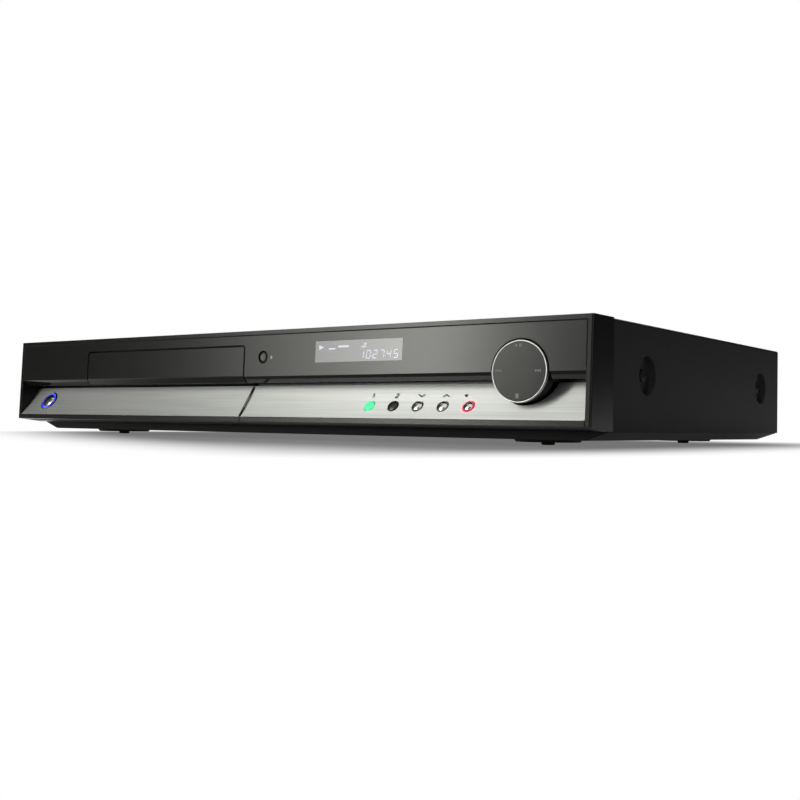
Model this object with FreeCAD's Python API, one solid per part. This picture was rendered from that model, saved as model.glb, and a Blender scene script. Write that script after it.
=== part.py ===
import FreeCAD, Part
import math
import os

# A disc and hard-disk recorder for a television, 430 mm wide, with a loading tray,
# a drop-down flap over the front jacks and a rocking navigation disc. Millimetres.
# X runs to the right seen from the front, Y to the back and Z up. While it is built,
# Y is 0 at the top front edge and Z is 0 under the feet. The last function moves
# everything, so that the origin lies under the middle of the whole object.

V = FreeCAD.Vector

# Case
width = 430.0
height = 61.0
depth = 270.0
cheek = 3.0
bezel_depth = 21.0
bezel_corner = 1.0
rake_run = 2.2
cover_bottom = 7.5
cover_sheet = 1.0
cover_step = 0.2
cover_edge_radius = 1.5
pan_bottom = 3.0
pan_sheet = 1.0
pan_inset = 13.5
pan_front = 19.6
pan_flange_drop = 16.0
pad_radius = 18.0
pad_drop = 1.5
foot_radius = 3.5
foot_from_drive = 24.35
foot_front = 49.0
foot_back_inset = 38.0
side_screw_front = 60.5
side_screw_back_inset = 35.0
side_screw_drop = 25.5
dimple_radius = 10.0
dimple_depth = 3.2
screw_radius = 1.5
screw_head_radius = 3.4
screw_head = 1.8
rear_sheet = 1.0
rear_flange = 7.3

# Front, from the top edge down
top_band = 2.4
plate_share = 0.38525
plate_thickness = 3.6
strip_height = 3.5
strip_run = 3.3
bezel_wall = 2.0
slope_gap = 1.4
slope_lean = 0.69274
lip_bottom = 9.5
lip_height = 2.8
underside_back = 15.0
floor_sheet = 2.0
floor_front = 7.2
ledge_margin = 3.68
ledge_sheet = 1.6
skin_thickness = 1.2
skin_hollow = 0.5
carrier_thickness = 1.6
seam_from_door = 1.4
seam_gap = 0.6
slope_edge_gap = 0.3
pivot_y = 4.5
pivot_z = 10.4
pivot_pin_radius = 0.9
pivot_lug_radius = 1.6
pivot_lug_width = 5.0

# Tray, its door and the disc
door_share = 0.33837
door_width = 139.5
door_drop = 6.3
door_gap = 0.8
door_corner = 1.5
door_relief = 0.3
door_overlap = 1.5
tray_width = 132.0
tray_thickness = 6.0
tray_back = 172.0
tray_rib = 2.0
tray_rib_width = 4.0
disc_y = 72.0
disc_radius = 60.5
small_disc_radius = 41.0
disc_recess = 3.6
small_disc_recess = 1.2
slot_half_width = 18.0
tray_travel = 134.0

# Display, buttons and the navigation disc
window_from_dial = 97.8
window_width = 58.2
window_rise = 12.65
window_height = 11.5
window_thickness = 2.0
eject_from_door = 15.0
eject_rise = 10.8
eject_radius = 3.0
eject_gap = 0.6
buttons_from_dial = 92.0
button_pitch = 15.35
button_share = 0.372
button_radius = 3.05
button_gap = 0.35
button_crown = 0.7
button_travel = 0.8
record_radius = 2.7
record_ring_radius = 3.5
power_inset = 24.7
power_share = 0.5235
power_radius_share = 0.23
power_ring_width = 1.3
power_hole_gap = 0.35
power_flare_share = 0.124
power_boss_share = 0.505
dial_inset = 37.5
dial_level = 0.577
dial_radius = 14.8
dial_ring_width = 0.75
dial_gap = 1.0
dial_proud = 0.8
dial_depth = 8.0
dial_well_depth = 12.0
dial_pivot_depth = 6.0
dial_pin_radius = 0.8

# Fits and small clearances
running = 0.05
loose = 0.3
flange_step = 0.85
flange_thickness = 0.8

# Boards and standoffs
board = 1.6
board_under_drive = 2.0
standoff_radius = 3.0
display_board_depth = 11.0
button_board_depth = 8.0

# Disc drive
drive_wall = 2.5
drive_front = 27.0
drive_behind_tray = 33.0
drive_under_cam = 3.0
rack_gap = 0.8
rack_height = 5.0
rack_from_door = 48.75
rack_back = 3.2
gear_module = 1.0
gear_teeth = 12
gear_y = 31.0
tooth_share = 0.36
tooth_reach = 0.8
pulley_radius = 12.0
pulley_height = 2.0
pulley_drop = 1.3
motor_pulley_radius = 3.5
motor_spacing = 36.0
motor_radius = 9.5
motor_length = 18.0
belt_size = 1.0
belt_groove = 0.8
shelf_sheet = 2.2
shelf_back = 45.0
traverse_half_width = 42.0
traverse_front = 52.0
traverse_back = 150.0
traverse_under_tray = 10.0
traverse_sheet = 2.5
traverse_pivot_y = 152.0
traverse_pin_radius = 1.5
traverse_pin_length = 4.0
traverse_drop = 4.0
cam_travel = 12.0
cam_thickness = 3.0
cam_below = 12.0
cam_above = 5.0
cam_pin_from_door = 19.25
cam_pin_radius = 1.2
turntable_radius = 14.2
spindle_radius = 1.5
seat_drop = 0.8
cone_radius = 7.4
cone_height = 2.2
clamper_radius = 13.5
clamper_neck = 10.4
bridge_rise = 5.5
bridge_sheet = 1.0
bridge_half_depth = 22.0
sled_y = 99.0
sled_half_depth = 11.0
sled_travel = 33.0
rod_radius = 1.5
rod_spacing = 46.0
rod_rise = 4.6
feed_from_door = 34.0
feed_radius = 1.6
feed_pitch = 3.0
sled_motor_radius = 5.0
sled_motor_length = 13.0

# Electronics
disk_width = 101.6
disk_depth = 147.0
disk_height = 26.1
disk_share = 0.6814
disk_front = 60.0
bracket_rise = 6.0
bracket_sheet = 1.2
bracket_margin = 3.0
bracket_leg_inset = 7.0
supply_inset = 9.0
supply_from_drive = 11.35
supply_front = 60.0
board_back_inset = 8.0
main_from_drive = 9.85
main_from_bracket = 1.7
main_front = 60.0
jack_strip_gap = 7.0
chip_height = 2.2
heatsink_width = 30.8
heatsink_depth = 28.0
heatsink_height = 16.0
fin_sheet = 1.4
core_width = 28.0
core_depth = 30.0
core_height = 26.0
capacitor_radius = 11.0
capacitor_height = 30.0
small_capacitor_radius = 5.0
small_capacitor_height = 20.0
cool_plate_depth = 60.0
cool_plate_height = 30.0
filter_width = 20.0
filter_depth = 18.0
filter_height = 18.0
fan_inset = 60.0
fan_size = 40.0
fan_depth = 10.0
fan_blades = 7
jack_radius = 4.15
jack_bore = 1.6
jack_reach = 9.0
jack_plate_y = 18.0
jack_plate_sheet = 1.6
jack_plate_inset = 9.0
jack_plate_from_seam = 3.6
front_jack_share = 0.494
front_jack_reach = 6.0
front_jack_depth = 4.4
front_jack_inset = 43.0
front_jack_pitch = 18.0
aerial_share = 0.549
aerial_margin = 10.0
tuner_gap = 12.0
aerial_radius = 4.75
scart_shares = (-0.2884, -0.0372)
scart_width = 47.0
scart_height = 15.0
scart_rise = 16.4
inlet_inset = 35.0
inlet_rise = 18.4
inlet_width = 26.0
inlet_height = 16.0
digital_share = 0.3535
digital_bottom = 4.8
digital_width = 7.5
rear_jack_shares = (0.1209, 0.186, 0.2512)
rear_jack_rises = (9.4, 27.4)
socket_gap = 0.5

# Worked out from the sizes above
half = width / 2
door_x = -half * door_share
door_right = door_x + door_width / 2
drive_half = tray_width / 2 + 0.4
panel_seam = door_right - seam_from_door
pan_half_width = half - pan_inset
pan_floor = pan_bottom + pan_sheet
foot_x = drive_half + drive_wall - door_x + foot_from_drive
foot_back = depth - foot_back_inset
side_screw_back = depth - side_screw_back_inset
side_screw_z = height - side_screw_drop
plate_top = height - top_band
plate_bottom = plate_top - height * plate_share
strip_bottom = plate_bottom - strip_height
ledge_top = strip_bottom + ledge_sheet
slope_top = strip_bottom - slope_gap
slope_foot = lip_bottom + lip_height
slope_rise = slope_top - slope_foot
slope_run = slope_rise * slope_lean
foot_y = -rake_run * (height - slope_foot) / (height - lip_bottom)
ledge_back = foot_y + slope_run + ledge_margin
slope_length = math.hypot(slope_run, slope_rise)
slope_tilt = math.atan2(slope_rise, slope_run)
front_tilt = math.atan2(height - lip_bottom, rake_run)
dial_x = half - dial_inset
dial_z = height * dial_level
window_x = dial_x - window_from_dial
window_z = plate_bottom + window_rise
eject_x = door_right + eject_from_door
eject_z = plate_bottom + eject_rise
button_along = slope_length * button_share
power_x = power_inset - half
power_along = slope_length * power_share
power_radius = slope_length * power_radius_share
power_ring_radius = power_radius + power_ring_width
power_boss_length = slope_length * power_boss_share
floor_top = cover_bottom + floor_sheet
carrier_back = skin_thickness + carrier_thickness
opening_half = half - cheek
tray_under = ledge_top + rack_gap + rack_height
tray_top = tray_under + tray_thickness
hook_z = tray_top + loose
seat_z = tray_top - seat_drop
bridge_z = tray_top + bridge_rise
drive_back = tray_back + drive_behind_tray
traverse_z = tray_under - traverse_under_tray
rod_z = traverse_z + rod_rise
cam_bottom = traverse_z - cam_below
cam_top = traverse_z + cam_above
drive_floor = cam_bottom - drive_under_cam
board_level = drive_floor - board_under_drive
board_top = board_level + board
board_back = depth - board_back_inset
bracket_level = pan_floor + bracket_rise
disk_x = half * disk_share
main_left = door_x + drive_half + drive_wall + main_from_drive
main_right = disk_x - disk_width / 2 - bracket_margin - main_from_bracket
supply_left = supply_inset - half
supply_right = door_x - drive_half - drive_wall - supply_from_drive
supply_x = (supply_left + supply_right) / 2
supply_width = supply_right - supply_left
flange_bottom = height - cover_step - cover_sheet - rear_flange
socket_top = flange_bottom - socket_gap
fan_x = half - fan_inset
fan_z = socket_top - fan_size / 2
jack_plate_left = jack_plate_inset - half
jack_plate_right = panel_seam - jack_plate_from_seam
s_video_front_x = front_jack_inset - half
link_socket_x = s_video_front_x + 4 * front_jack_pitch + 2.0
aerial_x = -half * aerial_share
aerial_levels = (board_level + aerial_margin, socket_top - aerial_margin)
scart_places = [half * share for share in scart_shares]
scart_z = board_top + scart_rise
jack_strip_left = scart_places[0] + 2.0
jack_strip_front = drive_back + jack_strip_gap
inlet_x = inlet_inset - half
inlet_z = board_top + inlet_rise
digital_x = half * digital_share
traverse_arm = traverse_pivot_y - (traverse_front - cam_thickness)
cam_drop = traverse_arm * math.sin(math.radians(traverse_drop))
gear_pitch_radius = gear_module * gear_teeth / 2
rack_x = door_x + rack_from_door
feed_x = door_x + feed_from_door
cam_pin_x = door_x - cam_pin_from_door
gear_x = rack_x - gear_pitch_radius


def front_y(z):
    """Y of the raked front plane at height z."""
    return -rake_run * (height - z) / (height - lip_bottom)


def slope_point(along, inward):
    """(y, z) of a point on the sloping panel, a given way up it and behind it."""
    y = foot_y + along * math.cos(slope_tilt) + inward * math.sin(slope_tilt)
    z = slope_foot + along * math.sin(slope_tilt) - inward * math.cos(slope_tilt)
    return (y, z)


# Small helpers for solids


def box(x0, x1, y0, y1, z0, z1):
    return Part.makeBox(x1 - x0, y1 - y0, z1 - z0, V(x0, y0, z0))


def bar(start, along, radius, length):
    return Part.makeCylinder(radius, length, V(*start), V(*along))


def outline(points, place):
    """A closed face through the points; a pair of points is an arc's middle and end."""
    edges = []
    here = points[0]
    for step in points[1:] + points[:1]:
        if isinstance(step[0], tuple):
            edges.append(Part.Arc(place(here), place(step[0]), place(step[1])).toShape())
            here = step[1]
        else:
            edges.append(Part.makeLine(place(here), place(step)))
            here = step
    return Part.Face(Part.Wire(edges))


def prism_x(points, x0, x1):
    """An outline of (y, z) points carried along X."""
    return outline(points, lambda p: V(x0, p[0], p[1])).extrude(V(x1 - x0, 0, 0))


def prism_y(points, y0, y1):
    """An outline of (x, z) points carried along Y."""
    return outline(points, lambda p: V(p[0], y0, p[1])).extrude(V(0, y1 - y0, 0))


def prism_z(points, z0, z1):
    """An outline of (x, y) points carried along Z."""
    return outline(points, lambda p: V(p[0], p[1], z0)).extrude(V(0, 0, z1 - z0))


def turned(points):
    """An outline of (radius, z) points turned about the Z axis."""
    return outline(points, lambda p: V(p[0], 0, p[1])).revolve(V(0, 0, 0), V(0, 0, 1), 360)


def crown(radius, low, rise):
    """The arc of a shallow dome from (radius, low) to the axis, as its middle and end."""
    ball = (radius ** 2 + rise ** 2) / (2 * rise)
    middle = low + rise - ball + math.sqrt(ball ** 2 - (radius / 2) ** 2)
    return ((radius / 2, middle), (0, low + rise))


def ring(outer, inner, z0, z1):
    body = Part.makeCylinder(outer, z1 - z0, V(0, 0, z0))
    return body.cut(Part.makeCylinder(inner, z1 - z0, V(0, 0, z0)))


def joined(shapes):
    return shapes[0].fuse(shapes[1:]).removeSplitter()


def moved(shape, x, y, z):
    copy = shape.copy()
    copy.translate(V(x, y, z))
    return copy


def mirrored_x(shape):
    return shape.mirror(V(0, 0, 0), V(1, 0, 0))


def tilted(shape, angle, x, y, z):
    """Turns a shape about X, then moves it; its own Z then points out of the panel."""
    copy = shape.copy()
    copy.rotate(V(0, 0, 0), V(1, 0, 0), math.degrees(angle))
    return moved(copy, x, y, z)


def on_front(shape, x, z):
    return tilted(shape, front_tilt, x, front_y(z), z)


def on_slope(shape, x, along):
    y, z = slope_point(along, 0)
    return tilted(shape, slope_tilt, x, y, z)


def facing_back(shape, x, y, z):
    """Points a shape's own Z to the back of the object."""
    copy = shape.copy()
    copy.rotate(V(0, 0, 0), V(1, 0, 0), -90)
    return moved(copy, x, y, z)


def facing_front(shape, x, y, z):
    copy = shape.copy()
    copy.rotate(V(0, 0, 0), V(1, 0, 0), 90)
    return moved(copy, x, y, z)


def front_slab(z0, z1, offset, thickness, x0, x1):
    """A plate parallel to the raked front, its face set back by the offset."""
    face = [(front_y(z1) + offset, z1), (front_y(z1) + offset + thickness, z1)]
    back = [(front_y(z0) + offset + thickness, z0), (front_y(z0) + offset, z0)]
    return prism_x(face + back, x0, x1)


# Base pan, feet, cover and rear panel


def pan_outline(inset):
    """The pan's cross-section as (x, z), drawn in by a sheet's thickness."""
    top = side_screw_z - pan_flange_drop
    side = half - cover_step - cover_sheet - loose - inset
    knee = cover_bottom - loose + inset
    foot = pan_half_width - inset * 0.4
    floor = pan_bottom + inset
    return [(-side, top), (-side, knee), (-foot, floor), (foot, floor), (side, knee), (side, top)]


def foot_places():
    return [(x, y) for x in (-foot_x, foot_x) for y in (foot_front, foot_back)]


def standoff_places():
    """Where the boards stand: (x, y) of each post under the main and supply boards."""
    inset = 5.0
    main = [(x, y) for x in (main_left + inset, main_right - inset)
            for y in (main_front + inset, (main_front + board_back) / 2, board_back - inset)]
    supply = [(x, y) for x in (supply_left + inset, supply_right - inset)
              for y in (supply_front + inset, board_back - inset)]
    return main + supply + [(jack_strip_left + inset, board_back - inset)]


def drive_foot_places():
    side = drive_half + drive_wall + 4.0
    return [(door_x + s * side, y) for s in (-1, 1) for y in (drive_front + 12, drive_back - 14)]


def base_pan():
    back = depth - rear_sheet
    pan = prism_y(pan_outline(0), pan_front, back)
    pan = pan.cut(prism_y(pan_outline(pan_sheet), pan_front + pan_sheet, back + 1))
    top = box(-half, half, pan_front - 1, bezel_depth, cover_bottom, height)
    pan = pan.cut(top)
    pad_bottom = pan_bottom - pad_drop
    slant = pad_drop
    solids = []
    for x, y in foot_places():
        low = V(x, y, pad_bottom)
        pad = Part.makeCone(pad_radius - slant, pad_radius, pad_drop + pan_sheet / 2, low)
        inner = Part.makeCone(pad_radius - slant - pan_sheet, pad_radius - pan_sheet,
                              pad_drop + pan_sheet, V(x, y, pad_bottom + pan_sheet))
        hole = Part.makeCylinder(foot_radius * 0.6, pan_sheet * 3, V(x, y, pad_bottom - 1))
        pan = pan.fuse(pad).cut(inner.fuse(hole))
    rise = board_level - pan_floor
    for x, y in standoff_places():
        post = Part.makeCylinder(standoff_radius, rise, V(x, y, pan_floor))
        solids.append(post.cut(Part.makeCylinder(1.2, rise, V(x, y, pan_floor + pan_sheet))))
    for x, y in drive_foot_places():
        solids.append(Part.makeCylinder(standoff_radius + 1, rise, V(x, y, pan_floor)))
    tab_face = half - cover_step - dimple_depth - 2 * cover_sheet
    for y in (side_screw_front, side_screw_back):
        for side in (-1, 1):
            low = cover_bottom - cover_sheet
            tab = box(-pan_sheet, 0, y - 9, y + 9, low, side_screw_z + 7)
            tab = tab.cut(bar((-5, y, side_screw_z), (1, 0, 0), screw_radius + running, 10))
            solids.append(moved(tab, tab_face, 0, 0) if side > 0 else
                          mirrored_x(moved(tab, tab_face, 0, 0)))
    pan = joined([pan] + solids)
    return pan.cut(pan_slots())


def pan_slots():
    """Cooling slots under the hard disk and under the supply board, two rows of each."""
    pitch = supply_width * 0.151
    columns = [(disk_x + 8 * (i - 3), disk_front + 30, foot_back - 72) for i in range(7)]
    columns += [(supply_x + pitch * (i - 2.25), supply_front + 50, foot_back - 52) for i in range(5)]
    slots = []
    for x, near, far in columns:
        for y in (near, far):
            slots.append(box(x, x + 3, y, y + 28, 0, pan_floor + 1))
    return slots


def rubber_feet():
    pad_bottom = pan_bottom - pad_drop
    neck = foot_radius * 0.6 - running
    head = neck + 0.6
    top = pad_bottom + pan_sheet
    profile = [(0, 0), (foot_radius - 0.6, 0), ((foot_radius - 0.18, 0.18), (foot_radius, 0.6)),
               (foot_radius, pad_bottom), (neck, pad_bottom), (neck, top), (head, top),
               (neck, top + 1.2), (0, top + 1.2)]
    return [moved(turned(profile), x, y, 0) for x, y in foot_places()]


def cover_outline(inset):
    side = half - cover_step - inset
    top = height - cover_step - inset
    r = cover_edge_radius - inset
    bend = r * (1 - math.sqrt(0.5))
    return [(-side, cover_bottom - inset), (-side, top - r), ((bend - side, top - bend), (r - side, top)),
            (side - r, top), ((side - bend, top - bend), (side, top - r)), (side, cover_bottom - inset)]


def side_screw_places():
    return [(s, y) for s in (-1, 1) for y in (side_screw_front, side_screw_back)]


def dimple(radius, extra):
    """A shallow cup that opens to +X, its mouth at x = 0."""
    floor = dimple_depth + extra
    return Part.makeCone(radius, radius - floor * 0.45, floor, V(0, 0, 0), V(-1, 0, 0))


def top_cover():
    cover = prism_y(cover_outline(0), bezel_depth, depth)
    cover = cover.cut(prism_y(cover_outline(cover_sheet), bezel_depth - 1, depth + 1))
    side = half - cover_step
    cups = []
    hollows = []
    for s, y in side_screw_places():
        cup = moved(dimple(dimple_radius + cover_sheet, cover_sheet), side, y, side_screw_z)
        hollow = moved(dimple(dimple_radius, 0), side, y, side_screw_z)
        hole = bar((side - 10, y, side_screw_z), (1, 0, 0), screw_radius + 0.2, 20)
        hollow = hollow.fuse(hole)
        cups.append(cup if s > 0 else mirrored_x(cup))
        hollows.append(hollow if s > 0 else mirrored_x(hollow))
    back = depth - rear_sheet
    flange = box(cover_outline(cover_sheet)[0][0], -cover_outline(cover_sheet)[0][0],
                 back - cover_sheet, back, flange_bottom, height - cover_step - cover_sheet / 2)
    for x in rear_screw_places():
        hollows.append(bar((x, back - 5, rear_screw_z()), (0, 1, 0), screw_radius + 0.2, 10))
    return joined([cover, flange] + cups).cut(hollows)


def rear_screw_places():
    return [-half * 0.9, -half * 0.3, half * 0.3, half * 0.9]


def rear_screw_z():
    return flange_bottom + rear_flange / 2


def screw(length):
    """A pan-head screw, its head's seat at z = 0 and its shank below."""
    r = screw_head_radius
    head = turned([(0, 0), (r, 0), (r, screw_head * 0.5), crown(r, screw_head * 0.5, screw_head * 0.5)])
    shank = Part.makeCylinder(screw_radius, length, V(0, 0, -length))
    cross = [box(-1.8, 1.8, -0.35, 0.35, screw_head - 0.9, screw_head + 1),
             box(-0.35, 0.35, -1.8, 1.8, screw_head - 0.9, screw_head + 1)]
    return head.fuse(shank).removeSplitter().cut(cross)


def cover_screws():
    screws = []
    seat = half - cover_step - dimple_depth
    for s, y in side_screw_places():
        part = screw(dimple_depth + cover_sheet)
        part.rotate(V(0, 0, 0), V(0, 1, 0), 90)
        part = moved(part, seat, y, side_screw_z)
        screws.append(part if s > 0 else mirrored_x(part))
    for x in rear_screw_places():
        screws.append(facing_back(screw(6), x, depth, rear_screw_z()))
    return screws


def rear_jack_places():
    return [(half * share, board_top + rise) for share in rear_jack_shares for rise in rear_jack_rises]


def rear_panel():
    top = height - cover_step - cover_sheet - cover_step
    low = pan_bottom
    side = half - cover_step - cover_sheet - cover_step
    knee = cover_bottom - loose
    points = [(-side, top), (-side, knee), (-pan_half_width, low), (pan_half_width, low),
              (side, knee), (side, top)]
    panel = prism_y(points, depth - rear_sheet, depth)
    y0 = depth - 5
    holes = [bar((x, y0, z), (0, 1, 0), jack_radius + 0.5, 10) for x, z in rear_jack_places()]
    holes += [bar((x, y0, rear_screw_z()), (0, 1, 0), screw_radius + 0.2, 10)
              for x in rear_screw_places()]
    holes += [box(x - scart_width / 2 - loose, x + scart_width / 2 + loose, y0, depth + 5,
                  scart_z - scart_height / 2 - loose, scart_z + scart_height / 2 + loose)
              for x in scart_places]
    holes += [bar((aerial_x, y0, z), (0, 1, 0), aerial_radius + 1, 10) for z in aerial_levels]
    holes.append(box(inlet_x - inlet_width / 2 - loose, inlet_x + inlet_width / 2 + loose,
                     y0, depth + 5, inlet_z - inlet_height / 2 - loose,
                     inlet_z + inlet_height / 2 + loose))
    wide = digital_width + socket_gap
    low, high, middle, upper = digital_levels()
    holes.append(box(digital_x - wide, digital_x + wide, y0, depth + 5, low - 0.4, high + 1.0))
    holes.append(bar((digital_x, y0, middle), (0, 1, 0), 5.3, 10))
    holes.append(box(digital_x - 5.3, digital_x + 5.3, y0, depth + 5, upper - loose, socket_top + loose))
    for i in range(-4, 5):
        reach = math.sqrt((fan_size * 0.46) ** 2 - (i * 4) ** 2)
        holes.append(box(fan_x - reach, fan_x + reach, y0, depth + 5,
                         fan_z + i * 4 - 1.2, fan_z + i * 4 + 1.2))
    return panel.cut(holes)


def digital_levels():
    """Heights of the digital sockets: the lowest one's foot and top, the round one's
    middle and the optical one's foot."""
    low = board_top + digital_bottom
    high = low + 6.2
    upper = socket_top - 8.0
    return low, high, (high + upper) / 2 + 1.7, upper


# Front bezel and plate


def bezel_outline():
    foot = front_y(lip_bottom)
    return [(0, height), (bezel_depth, height), (bezel_depth, cover_bottom),
            (underside_back, cover_bottom), (foot, lip_bottom)]


def dial_hole(radius, near, far):
    """A round cutter square to the front at the navigation disc, between two depths."""
    return on_front(Part.makeCylinder(radius, far - near, V(0, 0, -far)), dial_x, dial_z)


def dial_hole_radius():
    return dial_radius + dial_gap


def behind_slope(inward, reach):
    """Everything behind and above the sloping panel, for trimming what stands next to it."""
    low = slope_point(-20, inward)
    high = slope_point(slope_length, inward)
    over = slope_top + loose
    return prism_x([low, high, (high[0], over), (-reach, over), (-reach, 2 * height),
                    (reach, 2 * height), (reach, low[1])], -half, half)


def largest(shape):
    return max(shape.Solids, key=lambda solid: solid.Volume)


def front_bezel():
    shell = prism_x(bezel_outline(), -half, half)
    edges = [e for e in shell.Edges if e.BoundBox.ZLength > 20 and e.BoundBox.YMax < 1]
    shell = shell.makeFillet(bezel_corner, edges)
    shell = shell.cut([box(-opening_half, opening_half, -20, depth, floor_top, plate_top),
                       box(-opening_half, opening_half, -20, floor_front, 0, slope_foot)])
    wall = front_slab(strip_bottom, plate_top, plate_thickness, bezel_wall,
                      -opening_half, opening_half)
    ledge = box(-opening_half, opening_half, front_y(ledge_top) + plate_thickness, ledge_back,
                strip_bottom, ledge_top)
    well = ring(dial_hole_radius() + 1.5, dial_hole_radius(), -dial_well_depth, -plate_thickness)
    well = on_front(well.fuse(Part.makeCylinder(dial_hole_radius() + 1.5, 1.5,
                                                V(0, 0, -dial_well_depth))), dial_x, dial_z)
    well = largest(well.common(behind_slope(carrier_back + loose, depth)))
    baffle_back = ledge_back
    baffle = box(panel_left(), panel_right(), baffle_back - 1.0, baffle_back,
                 strip_bottom - 4.0, strip_bottom)
    bezel = joined([shell, wall, ledge, baffle])
    bezel = bezel.cut(dial_hole(dial_hole_radius(), 0, dial_well_depth)).fuse(well)
    post = on_front(dial_post(), dial_x, dial_z)
    x0 = door_x - door_width / 2 + door_overlap
    x1 = door_x + door_width / 2 - door_overlap
    door_top = plate_top - door_drop
    cutters = [box(x0, x1, -5, ledge_back - 0.01, ledge_top, door_top - door_gap),
               box(window_x - window_width / 2, window_x + window_width / 2, -5, ledge_back,
                   window_z - window_height / 2, window_z + window_height / 2),
               on_front(Part.makeCylinder(eject_radius + eject_gap, 20, V(0, 0, -15)),
                        eject_x, eject_z),
               bar((-opening_half, pivot_y, pivot_z), (-1, 0, 0), pivot_pin_radius + running, 2.2)]
    return bezel.fuse(post).removeSplitter().cut(cutters)


def dial_post():
    """The post in the disc's well, with the two pins that carry the gimbal along X."""
    centre = -dial_pivot_depth
    column = Part.makeCylinder(2.9, dial_well_depth - dial_pivot_depth + 2, V(0, 0, -dial_well_depth))
    pins = bar((-5.0, 0, centre), (1, 0, 0), dial_pin_radius, 10.0)
    return column.fuse(pins)


def door_profile(thickness):
    """The plate's side view as (y, z): the raked face and the polished strip below it."""
    strip_y = min(front_y(plate_bottom) + strip_run, front_y(strip_bottom) + thickness - 0.1)
    return [(front_y(plate_top), plate_top), (front_y(plate_top) + thickness, plate_top),
            (front_y(strip_bottom) + thickness, strip_bottom), (strip_y, strip_bottom),
            (front_y(plate_bottom), plate_bottom)]


def door_outline(gap):
    """The door seen from the front, as (x, z), grown by a gap all round."""
    x0 = door_x - door_width / 2 - gap
    x1 = door_x + door_width / 2 + gap
    top = plate_top - door_drop + gap
    r = door_corner + gap
    bend = r * (1 - math.sqrt(0.5))
    low = strip_bottom - gap
    return [(x0, low), (x0, top - r), ((x0 + bend, top - bend), (x0 + r, top)),
            (x1 - r, top), ((x1 - bend, top - bend), (x1, top - r)), (x1, low)]


def front_plate():
    side = opening_half - 0.1
    plate = prism_x(door_profile(plate_thickness), -side, side)
    top_gap = box(-half, half, -5, 10, plate_top - 0.15, plate_top + 1)
    cutters = [top_gap, prism_y(door_outline(door_gap), -10, 20),
               box(window_x - window_width / 2, window_x + window_width / 2, -5, 20,
                   window_z - window_height / 2, window_z + window_height / 2),
               on_front(Part.makeCylinder(eject_radius + eject_gap, 20, V(0, 0, -10)),
                        eject_x, eject_z),
               dial_hole(dial_hole_radius(), -5, 20)]
    return plate.cut(cutters)


def display_window():
    z0 = window_z - window_height / 2
    z1 = window_z + window_height / 2
    return front_slab(z0, z1, 0, window_thickness,
                      window_x - window_width / 2, window_x + window_width / 2)


def display_module():
    z0 = window_z - window_height / 2 - 1.5
    z1 = window_z + window_height / 2 + 1.5
    front = plate_thickness + bezel_wall + loose
    return front_slab(z0, z1, front, display_board_depth - front,
                      window_x - window_width / 2 - 3, window_x + window_width / 2 + 3)


def display_board():
    right = dial_x - dial_hole_radius() - 3
    plate = front_slab(ledge_top + 1, plate_top - 1, display_board_depth, board,
                       panel_seam + 9, right)
    switch = Part.makeBox(6, 6, 2.5, V(-3, -3, -display_board_depth))
    return joined([plate, on_front(switch, eject_x, eject_z)])


# Sloping panels: the brushed skins and their dark moulded carriers


def skin_outline():
    low = 0.15
    hollow = slope_point(slope_length / 2, skin_hollow)
    return [slope_point(low, 0), (hollow, slope_point(slope_length, 0)),
            slope_point(slope_length, skin_thickness), slope_point(low, skin_thickness)]


def carrier_outline(lip_back):
    """The carrier behind a skin, with the lip along its foot, as (y, z)."""
    slant = (lip_bottom - cover_bottom) / (underside_back - front_y(lip_bottom))
    under = lip_bottom - slant * (lip_back - front_y(lip_bottom))
    return [slope_point(0.1, skin_thickness), slope_point(slope_length, skin_thickness),
            slope_point(slope_length, carrier_back), slope_point(1.6, carrier_back),
            (lip_back, slope_foot - 1.6), (lip_back, under), (front_y(lip_bottom), lip_bottom),
            (foot_y, slope_foot)]


def panel_left():
    return panel_seam + seam_gap / 2


def panel_right():
    return opening_half - slope_edge_gap


def flap_left():
    return -opening_half + slope_edge_gap


def flap_right():
    return panel_seam - seam_gap / 2


def button_places():
    return [dial_x - buttons_from_dial + button_pitch * i for i in range(5)]


def button_holes(gap):
    holes = []
    for i, x in enumerate(button_places()):
        radius = record_ring_radius + running if i == 4 else button_radius + gap
        holes.append(on_slope(Part.makeCylinder(radius, 20, V(0, 0, -10)), x, button_along))
    return holes


def panel_skin():
    skin = prism_x(skin_outline(), panel_left(), panel_right())
    return skin.cut(button_holes(button_gap) + [dial_hole(dial_hole_radius(), -5, 40)])


def panel_frame():
    frame = prism_x(carrier_outline(pivot_y + 2.2), panel_left(), panel_right())
    hinge = bar((panel_left(), pivot_y, pivot_z), (1, 0, 0), pivot_pin_radius + running, 2.4)
    hole = dial_hole(dial_hole_radius() + 1.5 + running, 0, 40)
    frame = frame.cut(button_holes(button_gap) + [hole, hinge])
    return frame.fuse(button_board_posts()).removeSplitter()


def power_hole():
    """A round hole that widens to the back, so that the flap swings off the button."""
    mouth = power_ring_radius + power_hole_gap
    deep = carrier_back + 0.4
    cone = Part.makeCone(mouth + slope_length * power_flare_share, mouth, deep, V(0, 0, -deep))
    lead = Part.makeCylinder(mouth, 2, V(0, 0, -skin_hollow - 0.2))
    return on_slope(cone.fuse(lead), power_x, power_along)


def flap_skin():
    return prism_x(skin_outline(), flap_left(), flap_right()).cut(power_hole())


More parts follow.
